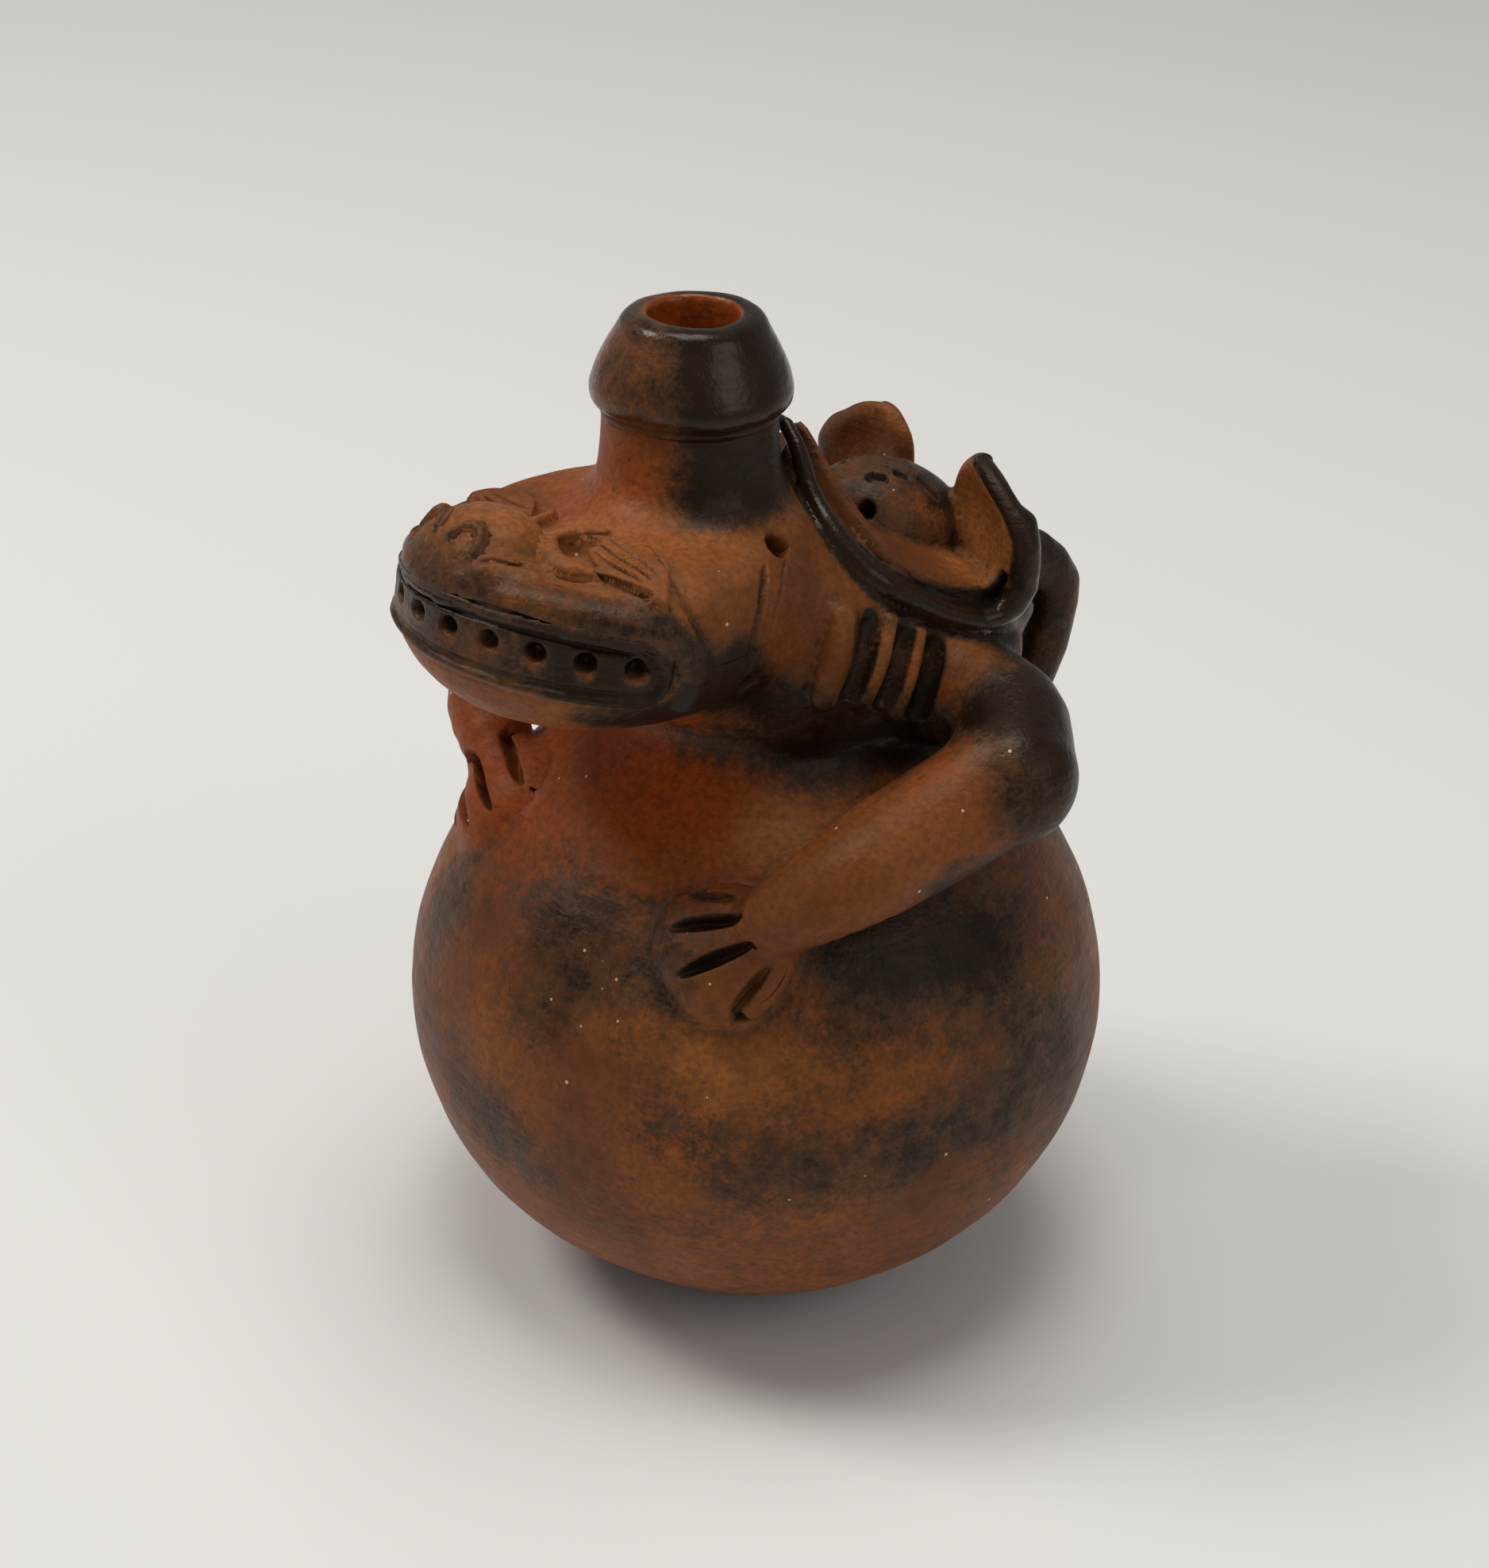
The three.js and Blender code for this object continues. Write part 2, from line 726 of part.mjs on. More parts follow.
const bothSides = [
  { tag: "left", sign: 1, of: (form) => form, bearing: leftHandBearing },
  { tag: "right", sign: -1, of: mirrored, bearing: rightHandBearing },
];
const air = airSpace();
const halfSpace = 200;

function slab(fromZ, toZ) {
  const box = new THREE.BoxGeometry(halfSpace, halfSpace, toZ - fromZ);
  return solidOf(box.translate(0, 0, (fromZ + toZ) / 2));
}

function buildBody() {
  const trunkGrown = clayForm(trunkForm, seam);
  const headGrown = headSolid(seam);
  const globeGrown = globeSolid(seam);
  add("globe_chamber", globeShell(), clay);
  add("neck_collar", cut(collarSolid(), globeGrown, trunkGrown, headGrown, air), redClay);
  const collarGrown = collarSolid(seam);
  const rearJawGrown = clayForm(rearJawForm, seam);
  add("trunk_shell", cut(clayForm(trunkForm), headGrown, air, rearJawGrown), clay);
  return { trunkGrown, headGrown, globeGrown, collarGrown, rearJawGrown };
}

function buildHead() {
  const head = cut(headSolid(), air);
  const band = bandSolid();
  const bandGrown = bandSolid(seam);
  const lip = clayForm(lipForm);
  const lipGrown = clayForm(lipForm, seam);
  const pressed = bothSides.flatMap(({ sign, of }) => [
    eyeRing(seam, sign),
    pupil(sign),
    clayForm(of(browCommaForm()), seam),
    clayForm(of(snoutBumpForm()), seam),
  ]);
  const noseGrown = clayForm(noseForm, seam);
  const flankHoles = bothSides.flatMap(({ sign }) => [
    rod(onBeast(sign * 15, -13, 15), onBeast(sign * 23, -13, 21), flankHoleRadius),
    rod(onBeast(sign * 20.5, -19, 0.5), onBeast(sign * 30, -19, 0.5), flankHoleRadius),
  ]);
  const skull = head.intersect(slab(headZ + seam / 2, headZ + 60));
  add("skull", cut(skull, bandGrown, lipGrown, noseGrown, ...pressed, ...flankHoles), clay);
  const jaw = head.intersect(slab(headZ - 60, headZ - seam / 2));
  add("lower_jaw", cut(jaw, bandGrown, lipGrown, ...flankHoles), clay);
  add("mouth_band", cut(band, toothSockets(), lipGrown), blackSlip);
  add("upper_lip", lip, blackSlip);
  const nostrils = bothSides.map(({ of }) => clayForm(of(nostrilForm()), seam));
  const bumps = bothSides.map(({ of }) => clayForm(of(snoutBumpForm()), seam));
  add("nose_knob", cut(clayForm(noseForm), bandGrown, lipGrown, ...nostrils, ...bumps), smokedClay);
  for (const { tag, sign, of } of bothSides) {
    add(`nostril_rim_${tag}`, clayForm(of(nostrilForm())), clay);
    add(`snout_bump_${tag}`, cut(clayForm(of(snoutBumpForm())), lipGrown), smokedClay);
    add(`eye_ring_${tag}`, eyeRing(0, sign), clay);
    add(`brow_comma_${tag}`, cut(clayForm(of(browCommaForm())), eyeRing(seam, sign)), clay);
  }
}

function buildSpout({ trunkGrown, headGrown }) {
  add("spout_neck", cut(spoutNeckSolid(), trunkGrown, headGrown, air), redClay);
  add("spout_collar", spoutCollarSolid(), blackSlip);
}

function buildArms({ trunkGrown, headGrown, globeGrown, collarGrown, rearJawGrown }) {
  for (const { tag, of, bearing } of bothSides) {
    const shoulder = of(shoulderForm());
    const shoulderGrown = clayForm(shoulder, seam);
    const pad = cut(clayForm(shoulder), trunkGrown, headGrown, collarGrown, rearJawGrown);
    add(`shoulder_${tag}`, pad, clay);
    const upper = of(upperArmForm(bearing));
    const forearm = of(forearmForm(bearing));
    const ribs = [];
    for (let i = 0; i < shoulderRibCount; i++) ribs.push(of(shoulderRibForm(i)));
    const upperGrown = clayForm(upper, seam);
    const arm = cut(clayForm(upper), trunkGrown, shoulderGrown, rearJawGrown);
    add(`upper_arm_${tag}`, arm, smokedClay);
    add(`forearm_${tag}`, cut(clayForm(forearm), upperGrown, globeGrown), clay);
    const slots = fingerSlots(bearing).map((slot) => clayForm(of(slot)));
    const palm = clayForm(of(handForm(bearing)));
    const hand = cut(palm, clayForm(forearm, seam), globeGrown, ...slots);
    add(`hand_${tag}`, hand, clay);
    ribs.forEach((rib, i) => {
      const carried = cut(clayForm(rib), trunkGrown, shoulderGrown, upperGrown, rearJawGrown);
      add(`shoulder_rib_${i + 1}_${tag}`, carried, clay);
    });
  }
}

function buildRearHead({ trunkGrown, rearJawGrown }) {
  const spoutNeckGrown = spoutNeckSolid(seam);
  const ears = bothSides.map(({ of }) => clayForm(of(earForm()), seam));
  const maskGrown = clayForm(maskForm, seam);
  const mask = cut(clayForm(maskForm), trunkGrown, spoutNeckGrown, rearJawGrown, ...ears);
  add("rear_mask", mask, clay);
  const crown = cut(clayForm(crownForm), maskGrown, trunkGrown, spoutNeckGrown, rearJawGrown);
  add("rear_crown", cut(crown, crownSlits(), ...ears), smokedClay);
  add("rear_jaw", cut(clayForm(rearJawForm), spoutNeckGrown, ...ears), blackSlip);
  for (const { tag, of } of bothSides) {
    add(`ear_${tag}`, cut(clayForm(of(earForm())), trunkGrown), clay);
  }
}

function buildTail({ trunkGrown, globeGrown, rearJawGrown }) {
  add("tail", cut(clayForm(tailForm()), trunkGrown, globeGrown, rearJawGrown), smokedClay);
}

const carriers = buildBody();
buildHead();
buildSpout(carriers);
buildArms(carriers);
buildRearHead(carriers);
buildTail(carriers);

export default assembly;
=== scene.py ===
"""The looks of the zoomorphic terracotta bottle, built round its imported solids.

All the clay is one field of distances in millimetres: each piece has a form, neighbouring forms
melt into each other as luted clay does, and tools have carved lines, slots and holes. Each piece
is a grid of rays that leave a line or disc inside it and end where they meet the clay's surface,
and each piece dives under its neighbour where the neighbour's form lies closer. Where the slip,
the smoke and the red of the firing lie is worked out from each point's place on the bottle.
"""

import bpy
import numpy as np
from mathutils import Matrix, Vector


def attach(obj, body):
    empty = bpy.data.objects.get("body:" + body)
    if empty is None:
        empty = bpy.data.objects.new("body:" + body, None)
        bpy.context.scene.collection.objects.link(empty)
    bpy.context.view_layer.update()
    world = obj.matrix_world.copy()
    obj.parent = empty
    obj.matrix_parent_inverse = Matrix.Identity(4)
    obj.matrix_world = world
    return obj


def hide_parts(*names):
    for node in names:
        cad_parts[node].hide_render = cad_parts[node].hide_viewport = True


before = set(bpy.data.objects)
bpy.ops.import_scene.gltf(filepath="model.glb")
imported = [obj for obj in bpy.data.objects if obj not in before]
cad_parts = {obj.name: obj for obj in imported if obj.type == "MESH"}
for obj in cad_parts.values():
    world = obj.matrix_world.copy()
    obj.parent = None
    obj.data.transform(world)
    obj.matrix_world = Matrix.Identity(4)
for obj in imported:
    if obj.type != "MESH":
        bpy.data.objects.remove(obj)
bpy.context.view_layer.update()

MM = 0.001
GRID = 1.0

# How the rays find the clay: the distance given to a point far from a form, how soon and how
# steeply a piece dives under its neighbour, the share of the distance taken in a step, the
# numbers of steps out to the surface and close to it, the longest move close to it, and the
# move that counts as none
FAR_AWAY = 25.0
UNDERLAP = 1.2
DIVE = 1.5
STRIDE = 0.9
STEPS_OUT = 9
STEPS_CLOSE = 6
LAST_MOVE = 0.6
STILL = 1e-5

# How far out from the clay its hollows are felt, for the painted shade laid in them
FEEL = 1.8

# Heights and sizes of the bottle, in millimetres, in the frame of the solids
GLOBE_MIDDLE = np.array([0.0, 0.0, 46.02])
GLOBE_HALF = np.array([54.2, 54.2, 48.1])
AXIS = 110.12
HEAD_Z = AXIS + 9.0
HEAD_Y = -31.0
HEAD_RADIUS = 28.4
BROW_HEIGHT = 12.3
THROAT_DEPTH = 16.0
SPOUT_Y = -15.8
SPOUT_BORE = 6.5
NECK_TOP = AXIS + 34.2
SPOUT_TOP = AXIS + 48.0
BAND_RADIUS = 25.0
BAND_THICK = 3.4
BAND_TURN = np.radians(69.5)
BAND_LEAN = 0.13
BEAD_RADIUS = 0.62
TOOTH_STEP = 14.0


def row(*values):
    """One point or direction as an array."""
    return np.array(values, float)


def mirrored(points):
    """The same points on the beast's other side."""
    return np.asarray(points, float) * row(-1, 1, 1)


def unit(v):
    """The direction of v, at length one."""
    return v / np.maximum(np.linalg.norm(v, axis=-1, keepdims=True), 1e-9)


def size_of(v):
    """The length of each row of v."""
    return np.sqrt(np.einsum("ij,ij->i", v, v))


def flow(at, knots, values):
    """A smooth curve through values at the knots: cubic pieces whose slopes at a knot are the
    slope between the knots on either side of it."""
    knots = np.asarray(knots, float)
    values = np.asarray(values, float)
    slopes = np.gradient(values, knots)
    at = np.clip(at, knots[0], knots[-1])
    i = np.clip(np.searchsorted(knots, at) - 1, 0, len(knots) - 2)
    gap = knots[i + 1] - knots[i]
    t = (at - knots[i]) / gap
    rise = t * t * (3 - 2 * t)
    start = t * (1 - t) ** 2 * gap * slopes[i]
    end = t * t * (t - 1) * gap * slopes[i + 1]
    return values[i] * (1 - rise) + values[i + 1] * rise + start + end


def slope_at(at, knots, values, step=0.2):
    """How steeply the curve of flow() rises."""
    return (flow(at + step, knots, values) - flow(at - step, knots, values)) / (2 * step)


def smooth_line(points, count):
    """A smooth line through the points, with its samples at even distances."""
    points = np.asarray(points, float)
    steps = np.r_[0, np.cumsum(np.linalg.norm(np.diff(points, axis=0), axis=1))]
    fine = np.linspace(0, steps[-1], 400)
    dense = np.stack([flow(fine, steps, points[:, i]) for i in range(3)], 1)
    run = np.r_[0, np.cumsum(np.linalg.norm(np.diff(dense, axis=0), axis=1))]
    even = np.linspace(0, run[-1], count)
    line = np.stack([np.interp(even, run, dense[:, i]) for i in range(3)], 1)
    share = np.interp(even, run, fine / steps[-1])
    return line, share


def sizes_along(values, share):
    """Values given at even shares of a line, read smoothly at each share."""
    return flow(share, np.linspace(0, 1, len(values)), values)


# Distances to single forms: below nothing inside, above nothing outside


def lump(p, middle, half, power=2.0, axes=None):
    """Distance to a rounded lump: the level of the sum of powers of the shares of the half sizes,
    less one, over the steepness of that level."""
    q = p - middle
    if axes is not None:
        q = q @ np.asarray(axes).T
    s = np.maximum(np.abs(q) / half, 1e-4)
    if power == 2.0:
        level = np.sqrt(np.einsum("ij,ij->i", s, s))
        steep = size_of(s / half) / level
    else:
        raised = s ** (power - 1)
        level = np.einsum("ij,ij->i", raised, s) ** (1 / power)
        steep = size_of(raised / half) * level ** (1 - power)
    return (level - 1) / steep


def rope(p, line, radii):
    """Distance to a round coil: the nearest stretch of a line, less the coil's radius there."""
    best = np.full(len(p), 1e3)
    for a, b, ra, rb in zip(line[:-1], line[1:], radii[:-1], radii[1:]):
        along = b - a
        q = p - a
        t = np.clip(q @ along / (along @ along), 0, 1)
        best = np.minimum(best, size_of(q - t[:, None] * along) - ra - (rb - ra) * t)
    return best


def coil_form(points, radii, count=14):
    """A round coil along a smooth line, as a function of a point."""
    line, share = smooth_line(points, count)
    thick = sizes_along(radii, share)
    return lambda p: rope(p, line, thick)


def turned(p, heights, radii, y=0.0):
    """Distance to a form turned on an upright axis: how far a point lies outside the smooth
    outline, over the outline's slope."""
    rho = np.hypot(p[:, 0], p[:, 1] - y)
    z = np.clip(p[:, 2], heights[0], heights[-1])
    radius = flow(z, heights, radii)
    slope = slope_at(z, heights, radii, 0.05)
    return (rho - radius) / np.sqrt(1 + slope * slope)


def melt(a, b, width):
    """The nearer of two distances, rounded over where they are about equal."""
    h = np.maximum(width - np.abs(a - b), 0) / width
    return np.minimum(a, b) - h * h * width * 0.25


def carve(a, b, width):
    """The first form with the second taken away, with a rounded edge."""
    return -melt(-a, b, width)


def overlap(a, b, width):
    """Where both forms overlap, with a rounded edge."""
    return -melt(-a, -b, width)


def fade(p, middle, half):
    """One at the middle of a rounded place, and next to nothing well outside its half sizes."""
    reach = size_of((p - middle) / half)
    return np.exp(-reach * reach)


# The forms of the pieces


def on_globe(bearing, drop, lift=0.0):
    """A point of the globe at a bearing from the front and a drop below its top, with the
    direction out of the clay there."""
    z = GLOBE_HALF[2] - drop
    radius = GLOBE_HALF[0] * np.sqrt(1 - (z / GLOBE_HALF[2]) ** 2)
    angle = np.radians(bearing)
    q = row(radius * np.sin(angle), -radius * np.cos(angle), z)
    normal = unit(q / GLOBE_HALF ** 2)
    return GLOBE_MIDDLE + q + normal * lift, normal


def globe(p):
    """A flattened ball on a small flat foot, with shallow dents from the fingers."""
    d = lump(p, GLOBE_MIDDLE, GLOBE_HALF)
    for middle, half, depth in GLOBE_DENTS:
        d = d + depth * fade(p, middle, half)
    return overlap(d, 0.19 - p[:, 2], 2.5)


GLOBE_DENTS = [
    # middle, half sizes, depth
    ((18.5, -45.6, 67.5), (8, 8, 8.5), 1.0),
    ((20.7, -47.6, 61.3), (2.6, 2.6, 1.9), 0.5),
    ((29, -40, 66), (5, 5, 9), -0.5),
    ((38, -38.5, 51), (4, 4, 3), 0.35),
    ((47, -19, 62), (9, 9, 7), 0.4),
    ((-20, 40, 66), (12, 12, 9), 0.5),
    ((-42, -18, 58), (9, 9, 9), 0.4),
]


COLLAR_Y = -2.0
COLLAR_STRETCH = 1.3
COLLAR_LOW = 82
COLLAR_HIGH = 110


def collar(p):
    """A short flared wall, drawn out a little towards the rear."""
    q = p.copy()
    rear = q[:, 1] > COLLAR_Y
    q[rear, 1] = COLLAR_Y + (q[rear, 1] - COLLAR_Y) / COLLAR_STRETCH
    d = turned(q, (80, 86, 90, 93.5, 97, 112), (30, 26.4, 23.4, 21.6, 20.6, 20.0), COLLAR_Y)
    return np.maximum(d, np.maximum(COLLAR_LOW - p[:, 2], p[:, 2] - COLLAR_HIGH))


TRUNK_Y = 4.5
TRUNK_HALF_LONG = 38.0
TRUNK_SHARES = np.array([-1, -0.62, -0.22, 0.2, 0.55, 0.85, 1.0])
TRUNK_WIDE = np.array([0.9, 0.96, 1, 1, 0.98, 0.86, 0.66]) * 24.2
TRUNK_UP = np.array([19, 20.3, 19.3, 12.5, 9.5, 8.5, 8.0])
TRUNK_DOWN = np.array([0.9, 0.96, 1, 1, 0.92, 0.8, 0.64]) * 14.0
TRUNK_LIFT = np.array([0, 0, 0, -0.5, -1.5, -2.5, -3.0])


def trunk(p):
    """A long loaf of clay, high in front and low behind."""
    share = (p[:, 1] - TRUNK_Y) / (TRUNK_HALF_LONG + 0.5)
    z = p[:, 2] - AXIS - flow(share, TRUNK_SHARES, TRUNK_LIFT)
    up = flow(share, TRUNK_SHARES, TRUNK_UP)
    down = flow(share, TRUNK_SHARES, TRUNK_DOWN)
    half = np.stack([flow(share, TRUNK_SHARES, TRUNK_WIDE), np.full(len(p), TRUNK_HALF_LONG),
                     np.where(z > 0, up, down)], 1)
    q = np.stack([p[:, 0], p[:, 1] - TRUNK_Y, z], 1)
    return lump(q, np.zeros(3), half, 2.5)


def head(p):
    """A round head, flat on top with a firm shoulder, and bowl-shaped below."""
    q = p - row(0, HEAD_Y, HEAD_Z)
    flat = np.stack([np.hypot(q[:, 0], q[:, 1]), np.zeros(len(p)), q[:, 2]], 1)
    above = lump(flat, np.zeros(3), row(HEAD_RADIUS, HEAD_RADIUS, BROW_HEIGHT), 4.0)
    below = lump(flat, np.zeros(3), row(HEAD_RADIUS, HEAD_RADIUS, THROAT_DEPTH), 2.3)
    return np.where(q[:, 2] > 0, above, below)


def on_head(x, y, lift=0.0):
    """A point on top of the head."""
    share = np.hypot(x, y - HEAD_Y) / HEAD_RADIUS
    return row(x, y, HEAD_Z + BROW_HEIGHT * (1 - share ** 4) ** 0.25 + lift)


def jaw_point(bearing, radius, z):
    """A point round the jaw at a bearing from the front."""
    angle = np.radians(bearing)
    return row(radius * np.sin(angle), HEAD_Y - radius * np.cos(angle), z)


def band_height(angle):
    """The band's middle line, which rises towards the front."""
    return 117.2 + 5.0 * np.cos(angle)


def band_tall(angle):
    """Half the band's height, which is largest in front."""
    return 4.3 + 1.3 * np.cos(angle)


def band_outline(p):
    """Distance, on the band's own face, to its long outline with two half-round ends, and the
    distance inwards from the band's outer face, which leans in at the top."""
    rho = np.hypot(p[:, 0], p[:, 1] - HEAD_Y)
    angle = np.arctan2(np.abs(p[:, 0]), -(p[:, 1] - HEAD_Y))
    rise = p[:, 2] - band_height(angle)
    past = np.maximum(angle - BAND_TURN, 0) * BAND_RADIUS
    outline = np.hypot(past, rise) - band_tall(np.minimum(angle, BAND_TURN))
    lean = BAND_LEAN * np.maximum(rise + 2.6, 0)
    return outline, rho + lean - BAND_RADIUS


def mouth_band(p):
    """A bent slab with a thin raised bead along its edge."""
    outline, depth = band_outline(p)
    a = outline + 1.0
    b = np.abs(depth) - BAND_THICK + 1.0
    slab = np.hypot(np.maximum(a, 0), np.maximum(b, 0)) + np.minimum(np.maximum(a, b), 0) - 1.0
    bead = np.hypot(outline + 0.7, depth - BAND_THICK) - BEAD_RADIUS
    return melt(slab, bead, 0.4)


def band_grooves(p):
    """A line just inside the bead and one outside the band."""
    outline, depth = band_outline(p)
    inside = np.hypot(outline + 1.9, depth - BAND_THICK - 0.1) - 0.42
    outside = np.hypot(outline - 0.4, depth - BAND_THICK) - 0.28
    return np.minimum(inside, outside)


def both_ways(points):
    """A line that starts on the far side, runs through the front and ends on the near side."""
    points = np.asarray(points, float)
    return np.concatenate([mirrored(points[::-1]), points])


LIP_LINE = both_ways([jaw_point(*place) for place in (
    (6, 25.7, 128.0), (19, 25.1, 128.6), (34, 25.0, 128.2), (48, 25.6, 127.1), (64, 26.5, 125.8),
    (77.5, 27.1, 124.3), (85, 27.2, 121.1), (88.5, 27.2, 116.4), (86, 26.6, 112.4))])
LIP_RADII = [1.2, 1.7, 2.0, 2.1, 2.2, 2.3, 2.2, 2.1, 2.2, 2.3, 2.2, 2.1, 2.0, 1.7, 1.2]

NOSE_MIDDLE = row(0, -49.7, 130.0)
NOSE_HALF = row(10.0, 8.0, 7.3)


def nose(p):
    """A squarish lump at the front of the snout."""
    return lump(p, NOSE_MIDDLE, NOSE_HALF, 2.5)


def head_line(*places):
    """Points on top of the head, each given with how high it lies over the clay."""
    return [on_head(*place) for place in places]


EYE_LINE = head_line((7.4, -34.6, 0.3), (5.3, -37.4, 0.5), (5.4, -41.0, 0.5), (8.6, -44.0, 0.5),
                     (12.8, -45.0, 0.5), (16.0, -43.8, 0.4), (18.4, -41.4, 0.1))
EYE_RADII = [0.9, 1.35, 1.6, 1.75, 1.7, 1.45, 1.0]


def above(shape, x, y, lift=0.0):
    """A point on top of a form: down an upright line by the distance until it is reached."""
    p = np.array([[x, y, 142.0]])
    for _ in range(60):
        p[:, 2] = np.maximum(p[:, 2] - shape(p), 90.0)
    return p[0] + row(0, 0, lift)


NOSTRIL_LINE = [above(nose, x, y, -0.15) for x, y in
                ((2.0, -55.6), (3.0, -53.8), (4.8, -52.8), (6.5, -53.3), (7.2, -54.8))]
NOSTRIL_RADII = [0.6, 0.85, 0.95, 0.85, 0.6]
SNOUT_LINE = [(9.2, -54.4, 131.8), (10.4, -51.6, 130.4), (11.8, -48.9, 129.6),
              (12.6, -46.4, 129.3)]
SNOUT_RADII = [1.0, 1.9, 2.1, 1.1]


def leaf_axes(tip, root, up):
    """Three directions of a leaf: along it, across it and out of its face."""
    along = unit(tip - root)
    out = unit(up - along * (up @ along))
    return np.stack([along, np.cross(out, along), out])


BROW_ROOT = row(6.6, -36.4, 131.2)
BROW_TIP = row(26.8, -35.4, 127.6)
BROW_MIDDLE = row(17.8, -37.0, 130.4)
BROW_AXES = leaf_axes(BROW_TIP, BROW_ROOT, row(0.2, 0.0, 1.0))
BROW_HALF_LONG = 9.8
BROW_HALF_WIDE = 4.4
BROW_THICK = 1.35


def brow(p):
    """A leaf of clay laid on the head: a thin layer over the head inside a leaf's outline."""
    q = (p - BROW_MIDDLE) @ BROW_AXES.T
    share = np.clip(np.abs(q[:, 0]) / BROW_HALF_LONG, 0, 1)
    wide = BROW_HALF_WIDE * (1 - share ** 1.9)
    outline = (np.abs(q[:, 1]) - wide) * 0.85
    skin = head(p)
    return np.maximum(overlap(skin - BROW_THICK, outline, 0.8), -skin - 3.0)


def neck(p):
    """The wall that rises in a curve from the head to the spout."""
    heights = (114, 124, 128.5, 132, 135.5, 139.5, 146)
    radii = (20.5, 19.6, 17.6, 15.3, 13.6, 12.9, 12.7)
    d = turned(p, heights, radii, SPOUT_Y)
    return np.maximum(d, np.maximum(116 - p[:, 2], p[:, 2] - NECK_TOP - 0.2))


def spout(p):
    """A bulging collar that narrows to the rim."""
    heights = (NECK_TOP, 145.6, 146.9, 149.0, 152.5, 155.7, 157.2, 158.6)
    radii = (12.8, 14.2, 14.5, 14.0, 12.4, 10.6, 9.8, 9.0)
    d = turned(p, heights, radii, SPOUT_Y)
    low = NECK_TOP + 0.1 - p[:, 2]
    return overlap(np.maximum(d, low), p[:, 2] - SPOUT_TOP + 0.35, 1.6)


def bore(p):
    """The hole down through the spout."""
    rho = np.hypot(p[:, 0], p[:, 1] - SPOUT_Y)
    return np.maximum(rho - SPOUT_BORE + 0.1, 122.0 - p[:, 2])


ELBOW = row(43, 13, AXIS - 12.5)
SHOULDER_LINE = [(17, -6, AXIS - 6), (17, 9, AXIS - 6), (17, 24, AXIS - 6)]
UPPER_LINE = [(18.5, 15.5, AXIS - 8.5), (33.8, 18, AXIS - 9), ELBOW]
HAND_LIFT = 4.2
HAND_BEND = 0.011
HAND_HALF_THICK = 4.3


class Arm:
    """An arm that ends in a hand at a bearing and drop on the globe. The forearm's lower end lies
    at a bearing of its own, and the hand may be turned on its place."""

    def __init__(self, bearing, drop, low_bearing, middle_bearing, turn, size, slot_width, slots):
        self.hand, self.out = on_globe(bearing, drop, 0.9)
        low = on_globe(low_bearing, 14, 9.4)[0]
        middle = on_globe(middle_bearing, 11, 10.6)[0]
        start = ELBOW + unit(middle - ELBOW) * 2.5
        wrist = self.hand * 0.5 + low * 0.5 + self.out * 0.5
        self.forearm = np.stack([start, middle, low, wrist, self.hand * 0.82 + low * 0.18])
        reach = self.hand - low
        reach = unit(reach - self.out * (reach @ self.out))
        across = np.cross(self.out, reach)
        angle = np.radians(turn)
        reach, across = (reach * np.cos(angle) + across * np.sin(angle),
                         across * np.cos(angle) - reach * np.sin(angle))
        self.axes = np.stack([reach, across, self.out])
        self.size = size
        self.slot_width = slot_width
        self.slots = slots

    def place(self, along, across):
        """A point on the back of the hand."""
        lift = HAND_LIFT - HAND_BEND * (along ** 2 + across ** 2)
        return self.hand + row(along, across, lift) @ self.axes

    def palm(self, p):
        """A flat hand that follows the globe: a lump bent down away from its middle."""
        q = (p - self.hand) @ self.axes.T
        q[:, 2] += HAND_BEND * (q[:, 0] ** 2 + q[:, 1] ** 2)
        wide = self.size * (1 + 0.16 * np.clip(q[:, 0] / 9.0, -1, 1))
        half = np.stack([np.full(len(p), self.size), wide, np.full(len(p), HAND_HALF_THICK)], 1)
        return lump(q, np.zeros(3), half, 2.0)


NEAR_ARM = Arm(49.5, 18.8, 68.5, 91.7, 0, 10.2, 1.05, [
    ((3.4, -11.0), (-4.1, -5.8)),
    ((6.2, -6.5), (-3.2, -2.4)),
    ((8.4, 0.2), (-2.7, 1.4)),
    ((6.4, 9.6), (-3.7, 5.2)),
])
FAR_ARM = Arm(27.5, 15.2, 49.5, 82.5, -11, 9.6, 0.85, [
    ((8.2, -5.6), (-4.6, -4.6)),
    ((8.8, 0.5), (-5.0, 0.5)),
    ((7.6, 5.6), (-4.4, 5.0)),
    ((4.6, 9.6), (-3.8, 8.2)),
])
FOREARM_RADII = [8.5, 8.5, 8.5, 8.3, 8.0, 7.4, 6.6, 5.4, 3.8]


def finger_slot(arm, start, end):
    """A slit with pointed ends, pressed into the back of a hand."""
    a = arm.place(*start)
    b = arm.place(*end)
    middle = (a + b) / 2
    axes = leaf_axes(b, a, arm.out)
    half = row(np.linalg.norm(b - a) / 2 + 0.9, arm.slot_width, 2.9)
    return (lambda p: lump(p, middle, half, 2.0, axes)), middle


RIB_LINES = [
    [(22.9, -4.7, 117.9), (24.1, -6.3, 112.8), (24.5, -8.0, 107.4)],
    [(23.5, 3.3, 115.8), (24.8, 0.9, 110.6), (25.1, -1.5, 105.2)],
    [(24.0, 8.4, 112.9), (25.2, 6.3, 107.6), (25.4, 4.3, 102.0)],
    [(24.2, 14.0, 109.6), (25.5, 12.0, 104.0), (25.7, 10.0, 98.2)],
]
RIB_RADII = [2.5, 1.75, 1.75, 1.75]
GROOVE_LINES = [
    [(24.3, 0.0, 117.0), (25.5, -2.0, 111.6), (25.8, -4.4, 106.2)],
    [(24.8, 6.0, 114.4), (25.9, 3.8, 109.0), (26.2, 1.5, 103.6)],
    [(25.0, 11.3, 111.4), (26.1, 9.2, 105.8), (26.4, 7.1, 100.2)],
]


